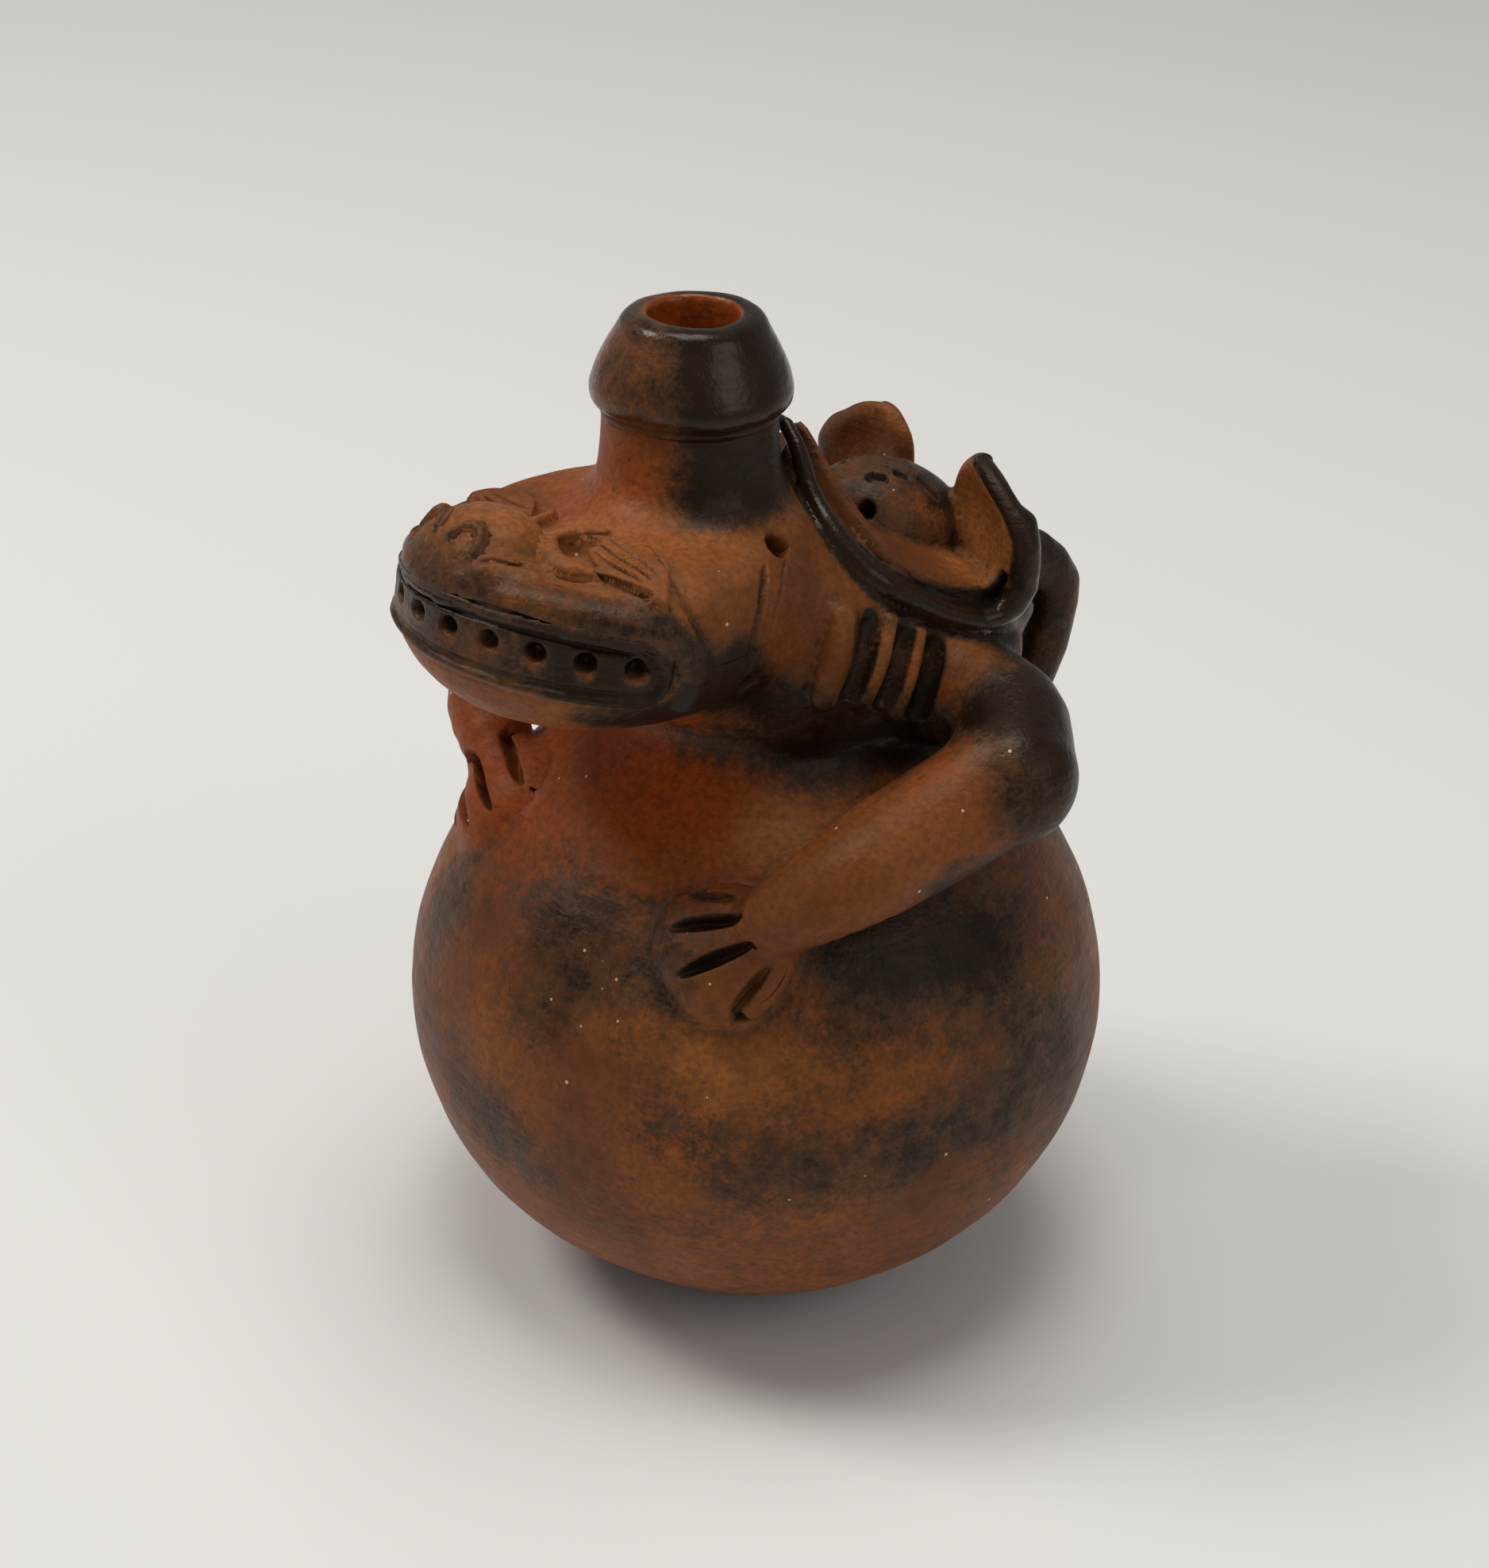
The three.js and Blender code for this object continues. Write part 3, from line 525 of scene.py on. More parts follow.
def mask_point(x, share, height):
    """A point by its place along the rear head, from its muzzle to its nape."""
    return row(x, 0.1 + share * 40, AXIS + 21 - 24 * share + height)


MASK_MIDDLE = mask_point(0, 0.5, -1.5)
MASK_ALONG = unit(row(0, 40, -24))
MASK_OUT = unit(row(0, 24, 40))
MASK_AXES = np.stack([row(1, 0, 0), MASK_ALONG, MASK_OUT])
MASK_HALF_LONG = 25.4
MASK_DOME = 1.9
MASK_DEEP = 6.0
MASK_STEPS = np.array([-26.2, -24.9, -23.4, -19.6, -14.9, -10.3, -3.0, 4.3, 12.0, 20.0, 25.0])
MASK_WIDE = np.array([0.2, 1.6, 4.6, 9.2, 14.0, 17.6, 19.6, 20.2, 20.0, 16.0, 9.0])
MASK_EDGE = np.array([8.8, 8.0, 6.2, 2.5, -0.3, -1.4, -1.0, 0.2, 0.6, 0.4, -1.0])


def mask(p):
    """A low shield with a raised rim, which climbs the spout with its pointed end."""
    q = (p - MASK_MIDDLE) @ MASK_AXES.T
    along = np.clip(q[:, 1], MASK_STEPS[0], MASK_STEPS[-1])
    wide = flow(along, MASK_STEPS, MASK_WIDE)
    edge = flow(along, MASK_STEPS, MASK_EDGE)
    spread = slope_at(along, MASK_STEPS, MASK_WIDE)
    climb = slope_at(along, MASK_STEPS, MASK_EDGE)
    share = np.clip(np.abs(q[:, 0]) / wide, 0, 1)
    above = (q[:, 2] - edge - MASK_DOME * (1 - share ** 2)) / np.sqrt(1 + climb ** 2)
    beside = (np.abs(q[:, 0]) - wide) / np.sqrt(1 + spread ** 2)
    ends = np.abs(q[:, 1] + 0.6) - MASK_HALF_LONG
    plate = overlap(overlap(above, beside, 1.6), ends, 1.6)
    return melt(np.maximum(plate, -above - MASK_DEEP), rope(p, MASK_RIM, MASK_RIM_RADII), 0.7)


MASK_RIM_POINTS = both_ways([(0.6, 3.2, 137.0), (4.5, 3.4, 134.3), (8.3, 5.0, 129.2),
                             (13.4, 6.4, 124.9), (17.2, 9.6, 121.2), (19.3, 16.2, 117.6),
                             (20.0, 23.4, 115.2), (20.2, 26.8, 116.6)])
MASK_RIM, rim_share = smooth_line(MASK_RIM_POINTS, 40)
MASK_RIM_RADII = sizes_along([0.9, 1.1, 1.1, 1.0, 0.8, 1.0, 1.1, 1.1, 0.9], rim_share)

CROWN_MIDDLE = MASK_MIDDLE + 0.4 * MASK_ALONG - 1.0 * MASK_OUT
CROWN_HALF = row(10.9, 14.6, 11.9)


def crown(p):
    """A dome of clay on the rear mask."""
    return lump(p, CROWN_MIDDLE, CROWN_HALF, 2.1, MASK_AXES)


REAR_JAW_LINE = both_ways([
    (0.8, -0.3, 138.8), (4.6, -0.5, 136.4), (9.0, -1.0, 131.4), above(trunk, 15.2, -0.8, 0.8),
    above(trunk, 20.2, 1.8, 0.6), above(trunk, 22.2, 7.6, 0.5), (23.1, 15.6, 113.4),
    (23.4, 22.6, 111.8), (24.0, 27.2, 114.6), (24.4, 27.6, 120.0), (22.6, 28.2, 125.4)])
REAR_JAW_RADII = [1.3, 1.7, 1.9, 1.9, 1.9, 1.9, 1.6, 1.3, 1.6, 1.9, 1.9, 1.9, 1.9, 1.7, 1.3]
CHANNEL_LINE = [(2.6, 1.0, 137.4), (5.8, 1.4, 134.4), (9.6, 2.0, 130.0), (14.4, 3.6, 125.6),
                (18.6, 6.0, 121.6), (21.0, 12.0, 117.6), (21.6, 19.0, 115.2), (21.8, 25.0, 114.6),
                (22.2, 26.4, 118.0)]

EAR_Y = 27.6
EAR_HALF_THICK = 1.7
EAR_FOOT = 110.0
EAR_TOP = 132.9
EAR_HEIGHTS = np.array([109.0, 115.0, 120.0, 123.0, 125.2, 127.5, 129.2, 131.3, 133.0])
EAR_INNER = np.array([6.5, 5.6, 5.1, 5.0, 5.1, 5.6, 6.5, 8.7, 11.4])
EAR_OUTER = np.array([23.6, 24.9, 26.2, 26.5, 25.4, 23.0, 20.3, 17.0, 13.6])


def ear_shape(p):
    """A broad upright plate of three corners, hollow in front, with a thick outer edge."""
    z = np.clip(p[:, 2], EAR_HEIGHTS[0], EAR_HEIGHTS[-1])
    inner = flow(z, EAR_HEIGHTS, EAR_INNER)
    outer = flow(z, EAR_HEIGHTS, EAR_OUTER)
    middle = (inner + outer) / 2
    half = (outer - inner) / 2
    spread = slope_at(z, EAR_HEIGHTS, EAR_OUTER)
    right = p[:, 0] > middle
    beside = np.where(right, p[:, 0] - outer, inner - p[:, 0])
    beside = beside / np.where(right, np.sqrt(1 + spread ** 2), 1.15)
    share = np.clip((p[:, 0] - middle) / np.maximum(half, 1), -1, 1)
    centre = EAR_Y - 1.2 * share
    thick = EAR_HALF_THICK + 0.4 * np.maximum(share, 0)
    front = centre - thick - p[:, 1]
    back = p[:, 1] - centre - thick
    ends = np.maximum(p[:, 2] - EAR_TOP, EAR_FOOT - p[:, 2])
    d = overlap(overlap(np.maximum(front, back), beside, 3.0), ends, 1.5)
    return carve(d, lump(p, EAR_DISH, row(9.0, 6.6, 3.6), 2.0, EAR_DISH_AXES), 1.4)


EAR_DISH = row(13.6, 23.7, 122.4)
EAR_DISH_AXES = leaf_axes(row(20.0, 23.4, 118.0), row(11.0, 23.6, 125.5), row(0.0, 1.0, 0.0))

TAIL_LINE = [(0, 36, AXIS - 3), (0, 47.3, AXIS - 2.2), (0, 53.7, AXIS - 8), (0, 53.5, AXIS - 16),
             (0, 49.8, AXIS - 26), on_globe(180, 21, 2)[0], on_globe(180, 27, -3)[0]]
TAIL_RADII = [4.9, 4.6, 4.4, 4.3, 4.3, 4.4, 4.5]


def other_side(shape):
    """The same form on the beast's other side."""
    return lambda p: shape(p * row(-1, 1, 1))


class Piece:
    """A named piece: its form, how widely it melts into the rest, and the box it lies in."""

    def __init__(self, name, shape, width, low, high):
        self.name = name
        self.form = shape
        self.width = width
        margin = max(7, width + 2)
        self.low = np.asarray(low, float) - margin
        self.high = np.asarray(high, float) + margin


FORMS = []


def form(name, shape, width, low, high):
    """Adds a piece to the list of forms."""
    FORMS.append(Piece(name, shape, width, low, high))


def form_on(side, name, shape, width, low, high):
    """A form given for the left, on the left or mirrored to the right."""
    if side == "left":
        form(name + "_left", shape, width, low, high)
    else:
        form(name + "_right", other_side(shape), width,
             (-high[0], low[1], low[2]), (-low[0], high[1], high[2]))


def form_pair(name, shape, width, low, high):
    """Adds a piece on both sides."""
    for side in ("left", "right"):
        form_on(side, name, shape, width, low, high)


def around(points, radius):
    """The box round a line of points."""
    points = np.asarray(points, float)
    return points.min(0) - radius, points.max(0) + radius


form("globe_chamber", globe, 1.0, (-55, -55, 0), (55, 55, 95))
form("neck_collar", collar, 10.0, (-30, -32, 80), (30, 32, 110))
form("trunk_shell", trunk, 5.0, (-25, -34, 95), (25, 44, 131))
form("head", head, 4.0, (-29, -60, 103), (29, -2, 132))
form("spout_neck", neck, 4.5, (-21, -36, 116), (21, 5, 145))
form("upper_lip", coil_form(LIP_LINE, LIP_RADII, 40), 2.4, (-31, -60, 110), (31, -27, 132))
form("nose_knob", nose, 4.4, (-11, -61, 117), (11, -41, 138))
form("mouth_band", mouth_band, 0.4, (-29, -60, 111), (29, -18, 129))
form("spout_collar", spout, 0.7, (-15, -31, 144), (15, -1, 159))
form_pair("brow_comma", brow, 0.4, (5, -43, 122), (28, -31, 133))
form_pair("eye_ring", coil_form(EYE_LINE, EYE_RADII, 20), 0.5, (3, -47, 128), (20, -34, 134))
form_pair("nostril_rim", coil_form(NOSTRIL_LINE, NOSTRIL_RADII, 8), 0.8,
          (3, -60, 132), (10, -53, 137))
form_pair("snout_bump", coil_form(SNOUT_LINE, SNOUT_RADII, 8), 2.0, (7, -57, 127), (15, -44, 134))
form_pair("shoulder", coil_form(SHOULDER_LINE, [7.6, 9.0, 7.8], 6), 3.5,
          (8, -15, 94), (27, 33, 114))
form_pair("upper_arm", coil_form(UPPER_LINE, [8.8, 8.6, 8.7], 10), 3.5,
          (10, 3, 86), (52, 28, 112))
for side, arm, hand_width in (("left", NEAR_ARM, 0.9), ("right", FAR_ARM, 2.2)):
    form_on(side, "forearm", coil_form(arm.forearm, FOREARM_RADII, 18), 3.6,
            *around(arm.forearm, 9))
    form_on(side, "hand", arm.palm, hand_width, *around([arm.hand], 12))
for number, line in enumerate(RIB_LINES):
    thick = RIB_RADII[number]
    form_pair("shoulder_rib_%d" % (number + 1),
              coil_form(line, [thick * 0.8, thick, thick * 0.9], 7), 0.7, *around(line, thick))
form("rear_mask", mask, 0.8, (-20, -2, 105), (20, 44, 140))
form("rear_crown", crown, 0.8, (-12, 6, 108), (12, 34, 134))
form("rear_jaw", coil_form(REAR_JAW_LINE, REAR_JAW_RADII, 44), 0.8,
     (-27, -3, 108), (27, 31, 141))
form_pair("ear", ear_shape, 2.0, (4, 22, 110), (27, 33, 134))
form("tail", coil_form(TAIL_LINE, TAIL_RADII, 18), 3.0, (-6, 36, 58), (6, 60, 114))

FORM_NAMES = [f.name for f in FORMS]

SETTLING = [
    # middle, half sizes and shift of each place where the soft clay has sunk
    ((-17, -41, 131), (18, 17, 12), row(0.8, 0.4, -5.2)),
    ((1, -56, 132), (12, 9, 8), row(0, 0.3, -1.8)),
]


def settled(p):
    """The finished points moved as the hand-built clay has settled, most at each middle."""
    moved = p.copy()
    for middle, half, shift in SETTLING:
        moved = moved + fade(p, middle, half)[:, None] * shift
    return moved


# What the tools have carved out of the clay

CARVINGS = []


def carving(shape, width, low, high, both=False):
    """Adds a tool's mark: its form, how rounded its edge is and the box it lies in."""
    low = np.asarray(low, float) - 2
    high = np.asarray(high, float) + 2
    CARVINGS.append((shape, width, low, high))
    if both:
        CARVINGS.append((other_side(shape), width, row(-high[0], low[1], low[2]),
                         row(-low[0], high[1], high[2])))


def drawn(points, radius, width=0.35, count=12):
    """A line drawn on both sides with a blunt tool, tapered at its ends."""
    line, share = smooth_line(points, count)
    thick = radius * np.minimum(1, 0.5 + 5 * np.minimum(share, 1 - share))
    carving(lambda p: rope(p, line, thick), width, *around(line, radius), True)


def hole(start, end, first, last, width=0.5):
    """A hole on both sides, pushed in with a round stick."""
    ends = np.array([start, end], float)
    carving(lambda p: rope(p, ends, [first, last]), width, *around(ends, max(first, last)), True)


carving(bore, 1.0, (-7, -23, 121), (7, -9, 160))
carving(band_grooves, 0.35, (-30, -61, 110), (30, -18, 129))
for number in range(11):
    bearing = (number - 5) * TOOTH_STEP
    z = band_height(np.radians(bearing)) + 1.0
    socket = np.stack([jaw_point(bearing, BAND_RADIUS + 1.7, z - 0.3),
                       jaw_point(bearing, BAND_RADIUS + 5, z + 0.1)])
    carving(lambda p, s=socket: rope(p, s, [1.25, 1.9]), 0.5, *around(socket, 2))
for side, arm in ((1, NEAR_ARM), (-1, FAR_ARM)):
    for start, end in arm.slots:
        slot, middle = finger_slot(arm, start, end)
        if side < 0:
            slot, middle = other_side(slot), mirrored(middle)
        carving(slot, 0.4, middle - 8, middle + 8)
PIT_AXES = leaf_axes(row(10.4, -38.2, 131.2), row(7.4, -40.4, 131.2), row(0, 0, 1.0))
PIT_MIDDLE = on_head(9.3, -39.7, -0.1)
carving(lambda p: lump(p, PIT_MIDDLE, row(3.3, 2.4, 2.6), 2.0, PIT_AXES), 0.6, PIT_MIDDLE - 3,
        PIT_MIDDLE + 3, True)
drawn(head_line((9.0, -33.2, 0.3), (11.0, -32.6, 0.3), (16.0, -32.9, 0.3), (22.0, -33.8, 0.2),
                (26.2, -33.6, 0.0))
      + [(28.4, -31.6, 123.6), (28.7, -30.0, 120.4), (28.4, -27.6, 116.6)], 0.5, 0.3, 24)
drawn(head_line((18.0, -42.0, 0.2), (21.2, -40.2, 0.2), (24.0, -38.4, 0.1), (26.6, -35.6, 0.0)),
      0.4, 0.3)
for lower in (0.0, 1.7, 3.4):
    drawn(head_line((10.8 + lower * 0.8, -36.4 - lower, 1.0), (17.0, -36.2 - lower * 1.1, 1.0),
                    (23.0, -35.6 - lower * 0.7, 0.9)), 0.26, 0.25)
drawn([above(nose, x, y, 0.1) for x, y in
       ((3.2, -55.6), (4.0, -54.5), (5.0, -54.2), (6.2, -55.2))], 0.4, 0.3)
drawn([(8.6, -55.6, 133.0), (9.6, -53.2, 133.0), (11.4, -50.2, 131.6), (12.8, -47.4, 131.4)],
      0.3)
hole((19.0, -13.2, 129.4), (14.0, -13.6, 125.2), 1.95, 1.5)
hole((26.2, -21.6, 112.6), (20.0, -21.0, 113.4), 1.6, 1.3)
drawn([(22.2, -18.0, 127.6), (25.2, -20.6, 125.0), (26.6, -21.9, 121.4), (26.2, -22.2, 115.6)],
      0.6)
drawn([(20.2, -13.6, 126.4), (24.4, -16.4, 123.4), (26.0, -18.0, 119.6), (25.4, -18.6, 113.9)],
      0.35)
for line in GROOVE_LINES:
    drawn(line, 1.7, 0.5)
for x, y, x_end, y_end, wide in ((3.4, 14.4, 4.4, 15.6, 1.0), (4.2, 18.6, 4.9, 19.4, 0.85),
                                 (5.2, 21.8, 7.4, 23.8, 0.42)):
    slit = np.stack([above(crown, x, y, -0.2), above(crown, x_end, y_end, -0.2)])
    carving(lambda p, s=slit, r=wide: rope(p, s, [r, r * 0.8]), 0.35, *around(slit, 1.1), True)
hole((7.0, 10.6, 126.8), (5.4, 12.4, 122.6), 1.35, 1.1)
drawn([(0.4, 10.2, 132.0), (3.6, 10.0, 130.2), (6.4, 10.4, 127.2)], 0.45)
drawn([(0, 4.4, 136.4), (0, 6.4, 133.0), (0, 9.2, 131.0)], 0.4)
drawn(CHANNEL_LINE, 1.15, 0.4, 26)

# How each piece is wrapped in rays


def frames_along(line, up):
    """The line's direction at each sample, and the two directions across it."""
    forward = unit(np.gradient(line, axis=0))
    side = unit(np.cross(forward, up))
    return forward, side, np.cross(side, forward)


def sweep(points, half_side, half_up, up, spacing, closed=False, wide=None):
    """Rays round a smooth line. The rays' feet lie on the middle of a long cross-section, and at
    both ends the rays turn over into the line's own direction, until they meet at a pole."""
    spacing = spacing * GRID
    if closed:
        line = np.asarray(points, float)
        share = np.zeros(len(line))
        forward = unit(np.roll(line, -1, 0) - np.roll(line, 1, 0))
        side = unit(np.cross(forward, up))
        upward = np.cross(side, forward)
    else:
        reach = np.linalg.norm(np.diff(smooth_line(points, 60)[0], axis=0), axis=1).sum()
        line, share = smooth_line(points, max(6, int(reach / spacing)))
        forward, side, upward = frames_along(line, up)
    flat = max(half_up - half_side, 0.0)
    narrow = max(half_side - half_up, 0.0)
    quarter = np.pi / 2 * min(half_side, half_up)
    whole = 4 * (flat + narrow + quarter)
    count = max(12, int(whole / spacing))
    run = np.arange(count) / count * whole
    stops = np.cumsum([0, flat, quarter, 2 * narrow, quarter, 2 * flat, quarter, 2 * narrow,
                       quarter, flat])
    angle = np.interp(run, stops, np.radians([0, 0, 90, 90, 180, 180, 270, 270, 360, 360]))
    lift = np.interp(run, stops, row(0, 1, 1, 1, 1, -1, -1, -1, -1, 0) * flat)
    shift = np.interp(run, stops, row(1, 1, 1, -1, -1, -1, -1, 1, 1, 1) * narrow)
    across = side[:, None] * np.cos(angle)[None, :, None]
    across = across + upward[:, None] * np.sin(angle)[None, :, None]
    taper = np.ones(len(line)) if wide is None else sizes_along(wide, share)
    offset = (side[:, None] * shift[None, :, None] + upward[:, None] * lift[None, :, None])
    offset = offset * taper[:, None, None]
    feet = line[:, None] + offset
    if closed:
        return feet, across, True
    turn = max(4, int(np.pi / 2 * max(half_side, half_up) / spacing))
    tilt = np.radians(np.linspace(0, 90, turn + 1))[:-1]
    caps = []
    for end, sign in ((0, -1), (-1, 1)):
        ways = unit(sign * forward[end] * np.cos(tilt)[:, None, None]
                    + across[end] * np.sin(tilt)[:, None, None])
        roots = line[end] + offset[end] * np.sin(tilt)[:, None, None]
        caps.append((roots, ways))
    feet = np.concatenate([caps[0][0], feet, caps[1][0][::-1]])
    ways = np.concatenate([caps[0][1], across, caps[1][1][::-1]])
    return feet, ways, False


def pebble(middle, half, spacing, axes=None):
    """Rays out of the flat disc inside a lump, each along the lump's own normal. The poles lie on
    the third direction, which is the short one."""
    spacing = spacing * GRID
    a, b, c = half
    count = int(2 * np.pi * max(a, b) / spacing)
    rings = int((np.pi * (a + b) / 4 + c * 0.6) * 2 / spacing) + 3
    steps = np.linspace(0, 1, rings)
    lat = np.pi * (steps - np.sin(2 * np.pi * steps) * 0.07 * min(1, a / c - 1))
    lon = np.arange(count) / count * 2 * np.pi
    skin = np.stack(np.broadcast_arrays(a * np.sin(lat)[:, None] * np.cos(lon),
                                        b * np.sin(lat)[:, None] * np.sin(lon),
                                        -c * np.cos(lat)[:, None]), -1)
    feet = skin * row(max(0, 1 - c * c / (a * a)), max(0, 1 - c * c / (b * b)), 0)
    ways = unit(skin / np.asarray(half) ** 2)
    if axes is not None:
        feet = feet @ np.asarray(axes)
        ways = ways @ np.asarray(axes)
    return feet + middle, ways, False


def hoop(radius, z_low, z_high, half_side, spacing, y):
    """A closed ring of rays round the wall of a turned piece."""
    count = int(2 * np.pi * radius * 1.3 / (spacing * GRID))
    angle = np.arange(count) / count * 2 * np.pi
    ring = np.stack([radius * np.cos(angle), y + radius * np.sin(angle),
                     np.full(count, (z_low + z_high) / 2)], 1)
    half_up = (z_high - z_low) / 2 + half_side
    return sweep(ring, half_side, half_up, row(0, 0, 1), spacing, closed=True)


# The surface of a piece


def hand_marks(p):
    """The unevenness left by hands: broad waves, smaller ones and a fine ripple."""
    total = np.zeros(len(p))
    for wave, turn, depth in HAND_WAVES:
        total += depth * np.sin(p @ wave + turn)
    return total


def make_waves(seed, scales):
    """Waves of even directions round the sphere, each with its length, turn and depth."""
    rng = np.random.default_rng(seed)
    waves = []
    for count, long, depth in scales:
        for _ in range(count):
            way = unit(rng.normal(size=3))
            waves.append((way * 2 * np.pi / (long * rng.uniform(0.8, 1.25)),
                          rng.uniform(0, 6.28), depth))
    return waves


HAND_WAVES = make_waves(7, ((5, 34.0, 0.075), (7, 13.0, 0.028), (7, 5.5, 0.009)))


def distances(p, near):
    """The distance of each point to each near form. A point far outside a form's box only gets a
    large number."""
    table = {}
    for f in near:
        inside = np.all((p > f.low) & (p < f.high), axis=1)
        d = np.full(len(p), FAR_AWAY)
        if inside.any():
            d[inside] = f.form(p[inside])
        table[f.name] = d
    return table


def clay(p, table, near, carved):
    """The clay's own surface: all near forms melted together, less what is carved."""
    total = None
    for f in near:
        total = table[f.name] if total is None else melt(total, table[f.name], f.width)
    total = total + hand_marks(p)
    for shape, width, low, high in carved:
        inside = np.all((p > low) & (p < high), axis=1)
        if inside.any():
            total[inside] = carve(total[inside], shape(p[inside]), width)
    return total


def piece_level(p, own, side, near, carved):
    """The clay's surface where the piece's own form is the nearest, and a surface that dives
    under the neighbours elsewhere."""
    table = distances(p, near)
    total = clay(p, table, near, carved)
    mine = table[own]
    others = np.full(len(p), FAR_AWAY)
    for f in near:
        if f.name != own:
            others = np.minimum(others, table[f.name])
    if side:
        past = side * (HEAD_Z - p[:, 2])
        mine = np.maximum(mine, past)
        others = np.minimum(others, np.maximum(table[own], -past))
    return total + DIVE * np.maximum(0, mine - others - UNDERLAP)


def meet_the_clay(feet, ways, own, side, near, carved, reach):
    """Walks out along each ray by the distance to the surface, then closes in on it."""
    shape = feet.shape
    feet = feet.reshape(-1, 3)
    ways = ways.reshape(-1, 3)
    t_before = np.zeros(len(feet))
    before = piece_level(feet, own, side, near, carved)
    t = np.clip(-before * STRIDE, 0, reach)
    for step in range(STEPS_OUT + STEPS_CLOSE):
        level = piece_level(feet + ways * t[:, None], own, side, near, carved)
        if step < STEPS_OUT:
            moved = -level * STRIDE
        else:
            still = np.abs(t - t_before) < STILL
            slope = (level - before) / np.where(still, STILL, t - t_before)
            slope = np.where(still, 1.0, np.clip(slope, 0.35, 3.0))
            moved = np.clip(-level / slope, -LAST_MOVE, LAST_MOVE)
        t_before, before = t, level
        t = np.clip(t + moved, 0, reach)
    return (feet + ways * t[:, None]).reshape(shape)


def grid_faces(rings, count, closed):
    """The four-sided faces between neighbouring rings, and the three-sided ones at the poles."""
    j = np.arange(count)
    k = (j + 1) % count
    if closed:
        i = np.arange(rings)[:, None] * count
        n = (np.arange(rings)[:, None] + 1) % rings * count
        return np.stack([i + j, i + k, n + k, n + j], -1).reshape(-1, 4), None
    i = 1 + np.arange(rings - 3)[:, None] * count
    quads = np.stack([i + j, i + k, i + count + k, i + count + j], -1).reshape(-1, 4)
    last = 1 + (rings - 3) * count
    first_fan = np.stack([np.zeros(count, int), k + 1, j + 1], -1)
    last_fan = np.stack([np.full(count, last + count), last + j, last + k], -1)
    return quads, np.concatenate([first_fan, last_fan])


def surface_to_object(name, points, closed):
    """Puts a grid of points into a mesh of its own, with its faces turned outwards."""
    rings, count = points.shape[:2]
    if closed:
        verts = points.reshape(-1, 3)
    else:
        verts = np.concatenate([points[0].mean(0)[None], points[1:-1].reshape(-1, 3),
                                points[-1].mean(0)[None]])
    placed = settled(verts)
    quads, fans = grid_faces(rings, count, closed)
    a, b, c, d = (verts[quads[:, i]] for i in range(4))
    volume = np.einsum("ij,ij->i", np.cross(c - a, d - b), (a + b + c + d) / 4).sum()
    if volume < 0:
        quads = quads[:, ::-1]
        fans = fans[:, ::-1] if fans is not None else None
    fans = np.zeros((0, 3), int) if fans is None else fans
    loops = np.concatenate([quads.ravel(), fans.ravel()])
    totals = np.r_[np.full(len(quads), 4), np.full(len(fans), 3)]
    mesh = bpy.data.meshes.new(name)
    mesh.vertices.add(len(verts))
    mesh.vertices.foreach_set("co", (placed * MM).astype(np.float32).ravel())
    mesh.loops.add(len(loops))
    mesh.loops.foreach_set("vertex_index", loops.astype(np.int32))
    mesh.polygons.add(len(totals))
    mesh.polygons.foreach_set("loop_start", np.r_[0, np.cumsum(totals)[:-1]].astype(np.int32))
    mesh.polygons.foreach_set("loop_total", totals.astype(np.int32))
    mesh.polygons.foreach_set("use_smooth", np.ones(len(totals), bool))
    mesh.update(calc_edges=True)
    made = bpy.data.objects.new(name, mesh)
    bpy.context.scene.collection.objects.link(made)
    return made, verts


# Where smoke, slip and the red of the firing lie


def soft_step(outside):
    """One where the value is well below nothing, and nothing where it is well above."""
    return 1 / (1 + np.exp(np.clip(outside * 3.0, -30, 30)))


def patch(p, middle, half, edge):
    """One inside a rounded patch and nothing outside it, with a soft edge."""
    return soft_step((size_of((p - row(*middle)) / row(*half)) - 1) / edge)


def near_half(line):
    """The part of a line through the front that lies on the near side."""
    return line[len(line) // 2:]


def both_sides(p):
    """The points folded onto the near side."""
    return np.stack([np.abs(p[:, 0]), p[:, 1], p[:, 2]], 1)


def near_line(p, points, radius, edge):
    """One near a line and nothing away from it."""
    line = smooth_line(points, 20)[0]
    return soft_step(rope(p, line, np.full(20, radius)) / edge)


def rising(value, start, end):
    """Nothing below the start, one above the end and a smooth rise between."""
    t = np.clip((value - start) / (end - start), 0, 1)
    return t * t * (3 - 2 * t)


def strongest(*masks):
    """All masks laid over one another."""
    left = 1.0
    for m in masks:
        left = left * (1 - np.clip(m, 0, 1))
    return 1 - left


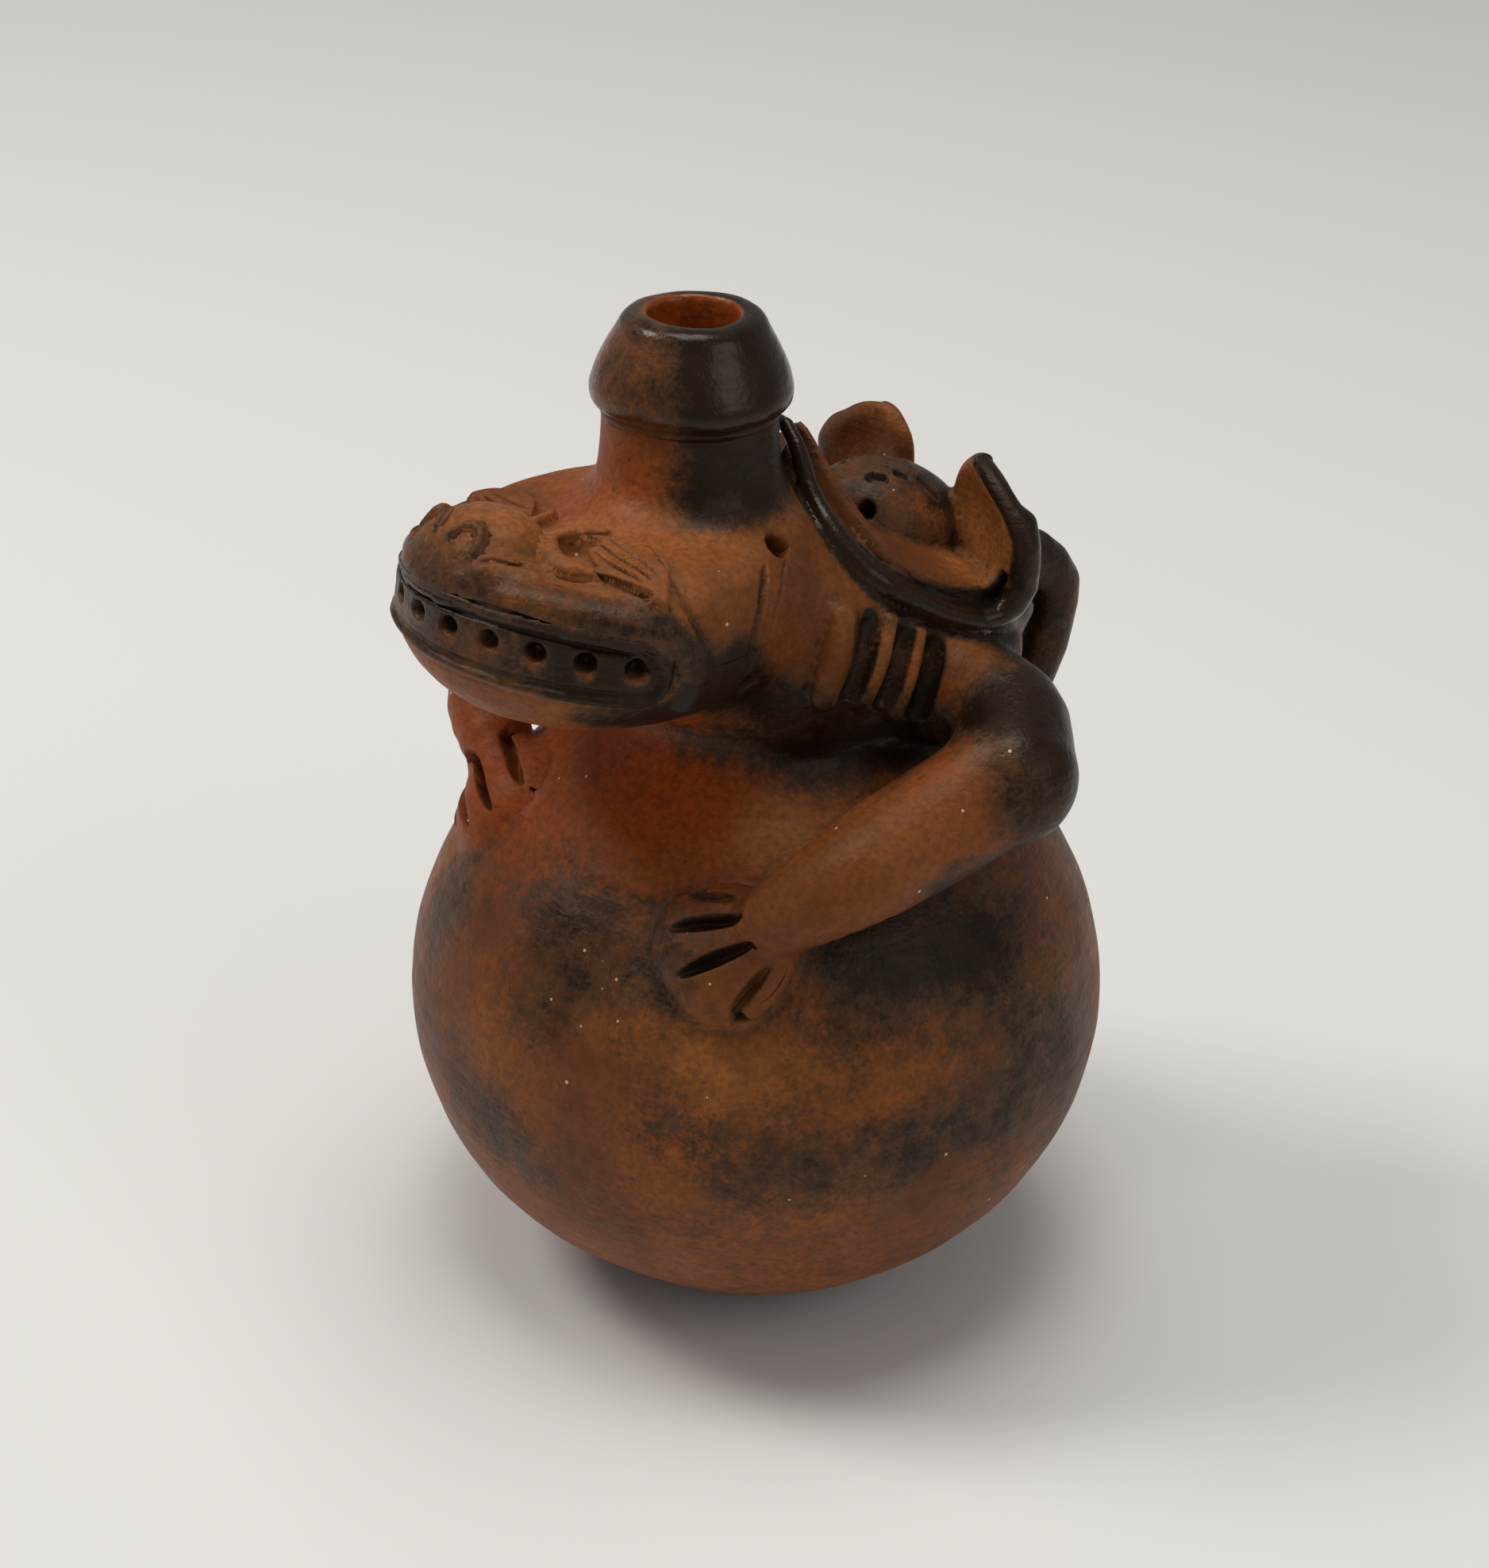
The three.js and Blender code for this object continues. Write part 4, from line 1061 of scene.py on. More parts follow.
SMOKE_AND_SHADE = [
    # middle, half sizes, strength and edge of smoke clouds and of painted shade under the
    # forearm: on the near side, then all round the globe
    ((18, -45, 70.5), (8.5, 9, 9), 0.55, 0.8),
    ((8, -44, 75.5), (6.5, 6, 4), 0.40, 1),
    ((-14, -49, 66), (7, 7, 7), 0.40, 1),
    ((5, -53.5, 41), (9, 7, 6), 0.40, 1),
    ((16, -50.5, 36), (9, 7, 4.5), 0.42, 1),
    ((38.5, -38, 49.5), (7, 7, 4.5), 0.42, 1),
    ((46, -27, 45.5), (12, 9, 5), 0.40, 1),
    ((53, -8, 48.5), (9, 12, 6), 0.48, 0.9),
    ((53, 9, 53), (9, 9, 6.5), 0.44, 1),
    ((50.5, -6, 64), (8, 15, 4), 0.30, 1),
    # painted shade on the globe under the forearm
    ((44, 3, 76), (12, 14, 6.5), 0.45, 0.9),
    ((50, 20, 57), (10, 16, 26), 0.28, 1),
    ((-47, 18, 62), (12, 18, 13), 0.50, 1),
    ((-30, -44, 44), (12, 9, 9), 0.42, 1),
    ((-12, 51, 42), (18, 9, 9), 0.50, 1),
    ((20, 42, 74), (15, 12, 9), 0.50, 1),
    ((-52, -10, 36), (8, 14, 8), 0.46, 1),
    ((0, 0, 4), (36, 36, 8), 0.25, 0.9),
    ((29.5, -33, 74.5), (7.5, 7, 9), 0.62, 0.7),
    ((24, -28, 107), (8, 16, 6.5), 0.70, 0.5),
    ((25, -11, 104.5), (6, 12, 5), 0.65, 0.5),
]
# smoke and slip on both sides, with painted shade under the forearm and the trunk
SMOKE_AND_SHADE_ON_BOTH = [
    ((27.5, -26, 114), (6.5, 6.5, 7.5), 0.93, 0.5),
    ((25.5, -20, 109), (5, 6, 6), 0.70, 0.6),
    ((25, -36, 111.5), (7, 14, 4), 0.75, 0.5),
    ((41, 17.5, 103.5), (10.5, 12, 7.5), 0.96, 0.35),
    ((47.5, 13, 97), (5.5, 9, 8.5), 0.93, 0.4),
    ((30, 23.5, 105.5), (8, 7, 6), 0.85, 0.4),
    # these two: soot and painted shade on the forearm's underside
    ((46, 2, 87), (6, 12, 4.5), 0.70, 0.5),
    ((41.5, -14, 80), (6, 9, 3.5), 0.60, 0.7),
    # painted shadow of the forearm on the globe
    ((45, -3, 73), (8, 17, 5.5), 0.80, 0.9),
    ((0, 42, 110), (24, 12, 14), 0.85, 0.5),
    ((24.5, 26, 110), (5.5, 8, 5), 0.80, 0.5),
    ((25, 9, 117), (5, 10, 2.4), 0.45, 0.8),
    ((15, 33.2, 120), (14, 3.2, 15), 0.88, 0.3),
    # painted shade under the trunk and over the collar's rear
    ((16, 6, 98), (20, 26, 7), 0.90, 0.6),
]
REDNESS = [
    ((6, -24, 92), (24, 15, 13), 1, 0.7),
    ((-3, -28, 134.5), (13, 8, 8), 0.9, 0.7),
    ((0, -38, 104), (20, 20, 5), 0.5, 0.8),
    ((30, 0, 100), (10, 22, 5), 0.6, 0.8),
    ((42, 5, 88), (10, 14, 6), 0.5, 0.8),
    ((-20, -38, 84), (16, 12, 20), 0.65, 0.8),
    ((2, -44, 82), (16, 12, 7), 0.6, 0.8),
    ((37.5, -38.5, 51), (5, 5, 4), 0.7, 0.8),
    ((0, -15.8, 150), (7.6, 7.6, 20), 1, 0.3),
    ((0, 54, 92), (9, 6, 15), 0.35, 0.8),
]
BLEACH = [
    ((0, -44, 134), (14, 14, 6), 0.55, 0.8),
    ((11, -30, 130), (18, 12, 6), 0.35, 0.9),
    ((34, -10, 90), (12, 14, 8), 0.35, 0.8),
    ((15, 24.5, 121), (9, 4, 12), 0.8, 0.6),
    ((26.5, -15, 85.5), (8, 6, 4), 0.8, 0.7),
    ((40, -32, 61), (16, 14, 7), 0.4, 0.9),
    ((0, 0, 14), (50, 50, 12), 0.4, 0.9),
]


def laid(p, patches, folded):
    """Patches of one kind, laid over one another."""
    return strongest(*[patch(folded if middle[0] == 0 else p, middle, half, edge) * strength
                       for middle, half, strength, edge in patches])


# the lower walls of the sockets, kept light as bare clay and as a painted highlight
SOCKET_SILLS = [jaw_point(TOOTH_STEP * number, BAND_RADIUS + 2.3,
                          band_height(np.radians(TOOTH_STEP * number)) - 0.6)
                for number in range(6)]


def smoke_slip_and_shade(p):
    """Smoke from the fire, black slip and painted shade under the trunk and the forearm: nothing
    on bare clay, one where it is black.
    """
    folded = both_sides(p)
    out_of_spout = np.hypot(p[:, 0], p[:, 1] - SPOUT_Y)
    to_the_right = 0.56 * p[:, 0] + 0.83 * (p[:, 1] - SPOUT_Y)
    about_spout = rising(19 - out_of_spout, 0, 4) * rising(p[:, 2], 127, 136)
    outside_bore = rising(out_of_spout, 6.6, 7.4)
    spout_right = rising(to_the_right, -7.0, 4.0) * about_spout * outside_bore * 0.97
    spout_left = rising(p[:, 2], 142, 145) * outside_bore * about_spout * 0.42
    rim = rising(p[:, 2], 154.5, 157.5) * outside_bore * about_spout * 0.4
    angle = np.degrees(np.arctan2(folded[:, 0], -(p[:, 1] - HEAD_Y)))
    outline, depth = band_outline(p)
    on_band = rising(-outline, -0.8, 0.4) * rising(depth, -4.0, 0.0)
    # the sockets' lower walls: bare clay left free of the slip, and a painted highlight where
    # light catches them
    bare_lit_sills = strongest(*[patch(folded, sill, (1.7, 1.7, 1.15), 0.6) for sill in SOCKET_SILLS])
    band = on_band * (0.52 + 0.42 * rising(angle, 25, 70)) * (1 - 0.8 * bare_lit_sills)
    lip = near_line(folded, near_half(LIP_LINE), 2.7, 1.8) * (0.58 + 0.36 * rising(angle, 45, 75))
    nose_front = patch(folded, (0, -58.5, 128.0), (14.0, 7.5, 8.0), 0.8) * 0.62
    jaw_strip = near_line(folded, near_half(REAR_JAW_LINE), 2.9, 0.8) * 0.97
    channel = near_line(folded, CHANNEL_LINE, 1.5, 0.6) * 0.97
    haze = 0.24 * rising(1.2 - lump(p, GLOBE_MIDDLE, GLOBE_HALF), 0, 1)
    crown_smoke = rising(-crown(p), -1.0, 0.4) * 0.58 * rising(p[:, 1], 3, 7)
    ribs = strongest(*[near_line(folded, line, 1.8, 0.4) for line in GROOVE_LINES]) * 0.97
    ear_rim = ear_crescent(folded, p[:, 0])
    tail = rising(p[:, 1], 40, 47) * rising(p[:, 2], 62, 72) * 0.70
    return np.clip(strongest(laid(p, SMOKE_AND_SHADE, folded), laid(folded, SMOKE_AND_SHADE_ON_BOTH, folded),
                             spout_right, spout_left, rim, band, lip, nose_front, jaw_strip,
                             channel, crown_smoke, ribs, ear_rim, tail, haze), 0, 1)


def ear_crescent(folded, near_side):
    """The dark edge of the ears: a broad crescent over the top and down the outer side."""
    z = np.clip(folded[:, 2], EAR_HEIGHTS[0], EAR_HEIGHTS[-1])
    outer = flow(z, EAR_HEIGHTS, EAR_OUTER)
    broad = np.where(near_side > 0, 1.6 + 0.12 * (z - 118), 0.8)
    near_edge = rising(folded[:, 0] - outer + broad, -0.8, 0.8)
    height = folded[:, 2] + 0.25 * folded[:, 0] + np.where(near_side > 0, 0, -1.8)
    top = rising(height, 133.4, 135.2)
    on_ear = rising(folded[:, 1], 21.5, 23.5) * rising(folded[:, 2], 117, 119)
    return np.maximum(near_edge, top) * on_ear * 0.85


def gloss_of(p):
    """Where the slip is burnished to a shine."""
    folded = both_sides(p)
    out_of_spout = np.hypot(p[:, 0], p[:, 1] - SPOUT_Y)
    spout_shine = rising(21 - out_of_spout, 0, 3) * rising(p[:, 2], 143, 145)
    ribs = strongest(*[near_line(folded, line, 1.8, 0.6) for line in GROOVE_LINES])
    strip = near_line(folded, near_half(REAR_JAW_LINE), 2.6, 0.8)
    elbow_shine = patch(folded, (42, 16, 104), (14, 14, 9), 0.5) * 0.7
    dent = patch(p, (18, -45, 69), (9, 9, 10), 0.5)
    return strongest(spout_shine * 0.9, ribs, strip * 0.8, elbow_shine, dent * 0.6)


def paint(mesh, verts, near, carved):
    """Gives each point of a piece its smoke, which holds painted shade under the trunk and the
    forearm, its redness, bleach, shine, grit and hollowness, which is painted shade in hollows.
    """
    normals = np.empty(len(verts) * 3, np.float32)
    mesh.vertex_normals.foreach_get("vector", normals)
    out = verts + normals.reshape(-1, 3) * FEEL
    open_air = clay(out, distances(out, near), near, carved)
    folded = both_sides(verts)
    grit = patch(verts, (21.0, -44.0, 68.0), (6.5, 7.0, 6.5), 0.5)
    layers = {
        # smoke and slip, with painted shade under the trunk and the forearm
        "smoke": smoke_slip_and_shade(verts),
        "redness": laid(verts, REDNESS, folded),
        "bleach": strongest(laid(verts, BLEACH, folded),
                            *[near_line(folded, line, 2.0, 0.6) * 0.7 for line in RIB_LINES]),
        "shine": gloss_of(verts),
        "grit": grit,
        # painted shade: the hollowness darkens the clay where other clay closes in round it
        "hollow": np.clip(1 - open_air / FEEL, 0, 1),
    }
    for name, values in layers.items():
        layer = mesh.attributes.new(name, "FLOAT", "POINT")
        layer.data.foreach_set("value", np.asarray(values, np.float32))


def dress(name, rays, slot="terracotta", own=None, side=0, reach=60.0):
    """Makes one piece of the finished bottle and stands it in for its solid. The skull and the
    lower jaw share the head's form, and each takes its own side of it."""
    own = own or name
    feet, ways, closed = rays
    form_of = FORMS[FORM_NAMES.index(own)]
    low, high = form_of.low, form_of.high
    near = [f for f in FORMS if f is form_of
            or np.all((f.low + 5 < high) & (f.high - 5 > low))]
    carved = [c for c in CARVINGS if np.all((c[2] < high) & (c[3] > low))]
    points = meet_the_clay(feet, ways, own, side, near, carved, reach)
    made, verts = surface_to_object(name + "_clay", points, closed)
    paint(made.data, verts, near, carved)
    made.data.materials.append(LOOKS[slot])
    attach(made, "root")
    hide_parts(name)


def flipped(rays):
    """The same rays on the beast's other side."""
    feet, ways, closed = rays
    return feet * row(-1, 1, 1), ways * row(-1, 1, 1), closed


# Materials


class Weaver:
    """Short ways to put nodes into a tree."""

    def __init__(self, tree):
        self.tree = tree

    def put(self, socket, value):
        """Joins another socket to this one, or sets its value."""
        if isinstance(value, bpy.types.NodeSocket):
            self.tree.links.new(value, socket)
        else:
            socket.default_value = value

    def math(self, operation, a, b=0.0, clamp=False):
        """One sum of two values."""
        node = self.tree.nodes.new("ShaderNodeMath")
        node.operation = operation
        node.use_clamp = clamp
        self.put(node.inputs[0], a)
        self.put(node.inputs[1], b)
        return node.outputs[0]

    def plus(self, a, b, clamp=False):
        return self.math("ADD", a, b, clamp)

    def less(self, a, b, clamp=False):
        return self.math("SUBTRACT", a, b, clamp)

    def times(self, a, b):
        return self.math("MULTIPLY", a, b)

    def sway(self, value, amount):
        """A value about one half, turned into a sway about nothing."""
        return self.times(self.less(value, 0.5), amount)

    def new(self, kind, **values):
        """A new node with its named inputs set or joined."""
        node = self.tree.nodes.new("ShaderNode" + kind)
        for label, value in values.items():
            self.put(node.inputs[label.replace("_", " ")], value)
        return node

    def noise(self, vector, scale, detail=3.0, roughness=0.55, distortion=0.0):
        """Cloudy noise about one half."""
        return self.new("TexNoise", Vector=vector, Scale=scale, Detail=detail,
                        Roughness=roughness, Distortion=distortion).outputs["Fac"]

    def stretch(self, vector, scale):
        """A place with its three directions scaled."""
        return self.new("Mapping", Vector=vector, Scale=scale).outputs[0]

    def grains(self, vector, scale):
        """How far a point lies from its grain's middle, and three random numbers of the grain."""
        node = self.new("TexVoronoi", Vector=vector, Scale=scale)
        kind = self.new("SeparateColor", Color=node.outputs["Color"])
        return node.outputs["Distance"], tuple(kind.outputs)

    def range(self, value, low, high, to_low=0.0, to_high=1.0):
        """A smooth rise from one value to another, as the given value goes from low to high."""
        node = self.new("MapRange", Value=value, From_Min=low, From_Max=high, To_Min=to_low,
                        To_Max=to_high)
        node.interpolation_type = "SMOOTHSTEP"
        return node.outputs["Result"]

    def mix(self, share, a, b):
        """The first colour, with a share of the second."""
        node = self.tree.nodes.new("ShaderNodeMix")
        node.data_type = "RGBA"
        self.put(node.inputs["Factor"], share)
        self.put(node.inputs["A"], a)
        self.put(node.inputs["B"], b)
        return node.outputs["Result"]


class GroupWeaver(Weaver):
    """A new shader group with named sockets: a place, numbers with their usual values, and what
    it gives back."""

    def __init__(self, name, numbers, results):
        super().__init__(bpy.data.node_groups.new(name, "ShaderNodeTree"))
        sockets = self.tree.interface
        sockets.new_socket("Position", in_out="INPUT", socket_type="NodeSocketVector")
        for label, value in numbers.items():
            socket = sockets.new_socket(label, in_out="INPUT", socket_type="NodeSocketFloat")
            socket.default_value = value
        for label, kind in results.items():
            sockets.new_socket(label, in_out="OUTPUT", socket_type="NodeSocket" + kind)
        self.asked = self.tree.nodes.new("NodeGroupInput").outputs
        self.results = self.tree.nodes.new("NodeGroupOutput").inputs
        self.place = self.asked["Position"]

    def give(self, **results):
        """Joins the results to the group's outputs, and hands the group over."""
        for label, value in results.items():
            self.put(self.results[label.replace("_", " ")], value)
        return self.tree


def smoke_cover_group():
    """How much dark cover lies on each point: the smoke layer, which holds painted shade under
    the trunk and the forearm, and painted shade in hollows, broken up by cloudy and grainy noise
    at its borders, as smoke takes only on the high grains of the clay."""
    w = GroupWeaver("smoke_cover", {"Smoke": 0.0, "Hollow": 0.0}, {"Cover": "Float"})
    place = w.place
    clouds = w.noise(place, 75.0, 4.0, 0.6, 0.4)
    small = w.noise(place, 420.0, 3.0, 0.6)
    fine = w.noise(place, 1500.0, 2.0, 0.6)
    uneven = w.plus(w.plus(w.sway(clouds, 1.3), w.sway(small, 0.9)), w.sway(fine, 0.8))
    # painted shade: hollows add to the dark cover
    smoke = w.plus(w.asked["Smoke"], w.times(w.asked["Hollow"], 0.30))
    border = w.times(w.times(smoke, w.less(1.0, smoke, True)), 2.6)
    level = w.plus(smoke, w.times(uneven, w.plus(border, 0.10)))
    return w.give(Cover=w.range(level, 0.02, 0.98))


COLOURS = {
    "brown": (0.118, 0.037, 0.0095, 1),
    "orange": (0.262, 0.080, 0.0180, 1),
    "amber": (0.255, 0.070, 0.0150, 1),
    "brick": (0.370, 0.065, 0.0090, 1),
    "bleached": (0.400, 0.145, 0.0400, 1),
    "speck": (0.075, 0.024, 0.008, 1),
    "pore": (0.06, 0.024, 0.012, 1),
    # painted shade laid in hollows
    "hollow shade": (0.03, 0.016, 0.01, 1),
    "smoke": (0.048, 0.0215, 0.0098, 1),
    "thin smoke": (0.094, 0.041, 0.0175, 1),
    "black": (0.0105, 0.0055, 0.0032, 1),
    "thin black": (0.024, 0.0115, 0.0062, 1),
    "pale grit": (0.62, 0.50, 0.38, 1),
    "golden grit": (0.62, 0.36, 0.12, 1),
}


def clay_colour_group():
    """The clay's colour: brown and orange in broad mottles, red or bleached by the fire, with
    dark pores, pale grit, the dark cover on top, and painted shade in hollows."""
    w = GroupWeaver("clay_colour", {"Redness": 0.0, "Bleach": 0.0, "Cover": 0.0, "Grit": 0.0,
                                    "Hollow": 0.0}, {"Colour": "Color", "Grit Spots": "Float"})
    place = w.place
    broad = w.noise(place, 38.0, 4.0, 0.6, 0.6)
    middle = w.noise(place, 160.0, 4.0, 0.65)
    fine = w.noise(place, 900.0, 3.0, 0.6)
    colour = w.mix(w.range(broad, 0.32, 0.68), COLOURS["brown"], COLOURS["orange"])
    colour = w.mix(w.range(middle, 0.35, 0.75, 0.0, 0.45), colour, COLOURS["amber"])
    red = w.times(w.asked["Redness"], w.range(middle, 0.2, 0.7, 0.7, 1.0))
    colour = w.mix(red, colour, COLOURS["brick"])
    pale = w.times(w.asked["Bleach"], w.range(broad, 0.25, 0.7, 0.55, 1.0))
    colour = w.mix(pale, colour, COLOURS["bleached"])
    colour = w.mix(w.range(fine, 0.3, 0.7, 0.5, 0.0), colour, COLOURS["speck"])
    pores, (pore_kind, _, pore_size) = w.grains(place, 520.0)
    chosen = w.math("GREATER_THAN", pore_kind, 0.86)
    edge = w.range(pore_size, 0.0, 1.0, 0.12, 0.26)
    dots = w.times(w.range(pores, 0.08, edge, 1.0, 0.0), chosen)
    colour = w.mix(w.times(dots, 0.75), colour, COLOURS["pore"])
    cloudy = w.range(middle, 0.3, 0.75)
    smoky = w.mix(cloudy, COLOURS["smoke"], COLOURS["thin smoke"])
    black = w.mix(cloudy, COLOURS["black"], COLOURS["thin black"])
    dark = w.mix(w.range(w.asked["Cover"], 0.55, 0.97), smoky, black)
    colour = w.mix(w.range(w.asked["Cover"], 0.0, 0.62), colour, dark)
    # painted shade in hollows
    colour = w.mix(w.times(w.asked["Hollow"], 0.35), colour, COLOURS["hollow shade"])
    spots, (_, spot_kind, _) = w.grains(place, 620.0)
    rare = w.range(w.asked["Grit"], 0.0, 1.0, 0.985, 0.62)
    few = w.math("GREATER_THAN", spot_kind, rare)
    grit = w.times(w.range(spots, 0.10, 0.20, 1.0, 0.0), few)
    golden = w.mix(w.asked["Grit"], COLOURS["pale grit"], COLOURS["golden grit"])
    return w.give(Colour=w.mix(grit, colour, golden), Grit_Spots=grit)


def clay_polish_group():
    """The roughness of hand-burnished clay: streaky where bare, smoother where it shines."""
    w = GroupWeaver("clay_polish", {"Cover": 0.0, "Shine": 0.0, "Bare Roughness": 0.5,
                                    "Shine Roughness": 0.26},
                    {"Roughness": "Float", "Coat": "Float"})
    place = w.place
    streaks = w.noise(w.stretch(place, (1.0, 1.0, 7.0)), 90.0, 3.0, 0.6)
    spots = w.noise(place, 600.0, 2.0, 0.6)
    rough = w.plus(w.asked["Bare Roughness"], w.sway(streaks, 0.28))
    rough = w.plus(rough, w.sway(spots, 0.20))
    rough = w.less(rough, w.times(w.asked["Cover"], 0.07))
    shine = w.times(w.asked["Shine"], w.range(streaks, 0.25, 0.6, 0.6, 1.0))
    gap = w.less(w.asked["Shine Roughness"], rough)
    return w.give(Roughness=w.plus(rough, w.times(gap, shine), True), Coat=w.times(shine, 0.28))


def clay_relief_group():
    """The height of the skin: tool streaks, a sandy grain and small pits."""
    w = GroupWeaver("clay_relief", {"Grit Spots": 0.0, "Streak Depth": 0.5, "Grain Depth": 0.5},
                    {"Height": "Float"})
    place = w.place
    streaks = w.noise(w.stretch(place, (1.0, 1.0, 9.0)), 60.0, 4.0, 0.65)
    dabs = w.noise(place, 170.0, 3.0, 0.55)
    grain = w.noise(place, 1100.0, 3.0, 0.6)
    pits = w.noise(place, 480.0, 2.0, 0.5)
    height = w.times(streaks, w.asked["Streak Depth"])
    height = w.plus(height, w.times(dabs, 0.9))
    height = w.plus(height, w.times(grain, w.asked["Grain Depth"]))
    height = w.less(height, w.range(pits, 0.66, 0.78, 0.0, 0.35))
    return w.give(Height=w.plus(height, w.times(w.asked["Grit Spots"], 0.2)))


COVER = smoke_cover_group()
COLOUR = clay_colour_group()
POLISH = clay_polish_group()
RELIEF = clay_relief_group()


def fired_clay(name, bare_roughness, shine_roughness, streaks, grain, coat=False):
    """Burnished, smoked earthenware, read from the layers painted on each piece."""
    material = bpy.data.materials.new(name)
    material.use_nodes = True
    tree = material.node_tree
    shader = tree.nodes["Principled BSDF"]
    w = Weaver(tree)
    place = w.new("TexCoord").outputs["Object"]

    def layer(label):
        node = w.new("Attribute")
        node.attribute_name = label
        return node.outputs["Fac"]

    def use(group, **given):
        node = w.new("Group")
        node.node_tree = group
        for label, value in given.items():
            w.put(node.inputs[label.replace("_", " ")], value)
        w.put(node.inputs["Position"], place)
        return node.outputs

    # the hollowness, painted as shade in hollows
    hollow = layer("hollow")
    cover = use(COVER, Smoke=layer("smoke"), Hollow=hollow)["Cover"]
    skin = use(COLOUR, Redness=layer("redness"), Bleach=layer("bleach"), Cover=cover,
               Grit=layer("grit"), Hollow=hollow)
    polish = use(POLISH, Cover=cover, Shine=layer("shine"), Bare_Roughness=bare_roughness,
                 Shine_Roughness=shine_roughness)
    relief = use(RELIEF, Grit_Spots=skin["Grit Spots"], Streak_Depth=streaks, Grain_Depth=grain)
    bump = w.new("Bump", Strength=0.55, Distance=0.0005, Height=relief["Height"])
    surface = {"Base Color": skin["Colour"], "Roughness": polish["Roughness"],
               "Normal": bump.outputs["Normal"], "Specular IOR Level": 0.22,
               "Specular Tint": (1.0, 0.82, 0.66, 1)}
    if coat:
        surface.update({"Coat Weight": polish["Coat"], "Coat Roughness": 0.16, "Coat IOR": 1.4})
    for label, value in surface.items():
        w.put(shader.inputs[label], value)
    return material


LOOKS = {
    "terracotta": fired_clay("terracotta_clay", 0.50, 0.32, 0.8, 0.45),
    "red_terracotta": fired_clay("red_clay", 0.48, 0.30, 0.5, 0.40),
    "smoked_terracotta": fired_clay("smoked_clay", 0.46, 0.28, 0.5, 0.50),
    "black_slip": fired_clay("black_slip_clay", 0.42, 0.24, 0.4, 0.45, coat=True),
}

# The pieces

UP = row(0, 0, 1)
OUT_X = row(1, 0, 0)

dress("globe_chamber", pebble(GLOBE_MIDDLE, GLOBE_HALF, 0.92), reach=80)
dress("neck_collar", pebble(row(0, 0, 95), (22, 24, 9), 0.6), "red_terracotta", reach=26)
dress("trunk_shell", sweep([(0, -18, AXIS + 1), (0, 4, AXIS), (0, 27, AXIS - 2)],
                           23, 14, UP, 0.5))
dress("skull", pebble(row(0, HEAD_Y, HEAD_Z + 3), (28, 28, 10), 0.44), own="head", side=1)
dress("lower_jaw", pebble(row(0, HEAD_Y, HEAD_Z - 4), (28, 28, 13), 0.5), own="head", side=-1)
BAND_LINE = [jaw_point(b, BAND_RADIUS - 0.6, band_height(np.radians(b)))
             for b in np.degrees(np.linspace(-BAND_TURN, BAND_TURN, 25))]
dress("mouth_band", sweep(BAND_LINE, BAND_THICK, 5.2, UP, 0.30), "black_slip", reach=8)
dress("upper_lip", sweep(LIP_LINE, 1.8, 1.8, row(0, 0.7, 1), 0.33), "black_slip", reach=4)
dress("nose_knob", pebble(NOSE_MIDDLE, (10.0, 8.0, 6.6), 0.34), "smoked_terracotta")
dress("spout_neck", hoop(10.0, 122, 141, 3.4, 0.5, SPOUT_Y), "red_terracotta", reach=14)
dress("spout_collar", hoop(9.4, 147.8, 154.5, 3.4, 0.38, SPOUT_Y), "black_slip", reach=9)
EAR_AXES = leaf_axes(row(11.6, EAR_Y, 132), row(15.6, EAR_Y, 112), row(0, -1, 0))
for side, arm in (("left", NEAR_ARM), ("right", FAR_ARM)):
    pairs = [
        ("eye_ring", sweep(EYE_LINE, 1.0, 1.0, UP, 0.26), "terracotta", 3),
        ("brow_comma", pebble(BROW_MIDDLE - row(0, 0, 0.4), (9.2, 3.6, 1.4), 0.3, BROW_AXES),
         "terracotta", 4),
        ("nostril_rim", sweep(NOSTRIL_LINE, 1, 1, UP, 0.25), "terracotta", 3),
        ("snout_bump", sweep(SNOUT_LINE, 1.8, 1.8, UP, 0.3), "smoked_terracotta", 4),
        ("shoulder", sweep(SHOULDER_LINE, 8.5, 8.5, UP, 0.42), "terracotta", 13),
        ("upper_arm", sweep(UPPER_LINE, 8, 8, UP, 0.5), "smoked_terracotta", 13),
        ("forearm", sweep(arm.forearm, 7.5, 7.5, UP, 0.5), "terracotta", 13),
        ("hand", pebble(arm.hand + arm.out, (10, 10.5, 4.0), 0.3, arm.axes), "terracotta", 9),
    ]
    pairs += [("shoulder_rib_%d" % (number + 1), sweep(line, 1.8, 1.8, OUT_X, 0.28),
               "terracotta", 4) for number, line in enumerate(RIB_LINES)]
    pairs += [("ear", pebble(row(14.4, 27.8, 120.0), (12.0, 9.0, 2.6), 0.34, EAR_AXES),
               "terracotta", 9)]
    for name, rays, slot, reach in pairs:
        dress(name + "_" + side, rays if side == "left" else flipped(rays), slot, reach=reach)
MASK_SPINE = [MASK_MIDDLE + row(0, along, out) @ MASK_AXES for along, out in
              ((-23.6, 5.0), (-18, 0.5), (-10, -3.4), (4, -3.0), (18, -2.4))]
dress("rear_mask", sweep(MASK_SPINE, 17.0, 2.6, MASK_OUT, 0.4,
                         wide=(0.05, 0.3, 0.65, 0.9, 1.0, 1.0, 0.8)), reach=14)
dress("rear_crown", pebble(CROWN_MIDDLE, (11.9, 15.2, 11.0), 0.34, MASK_AXES),
      "smoked_terracotta", reach=18)
dress("rear_jaw", sweep(REAR_JAW_LINE, 1.9, 1.9, UP, 0.38), "black_slip", reach=5)
dress("tail", sweep(TAIL_LINE, 4.4, 4.4, OUT_X, 0.45), "smoked_terracotta", reach=9)

# The table, the light and the camera


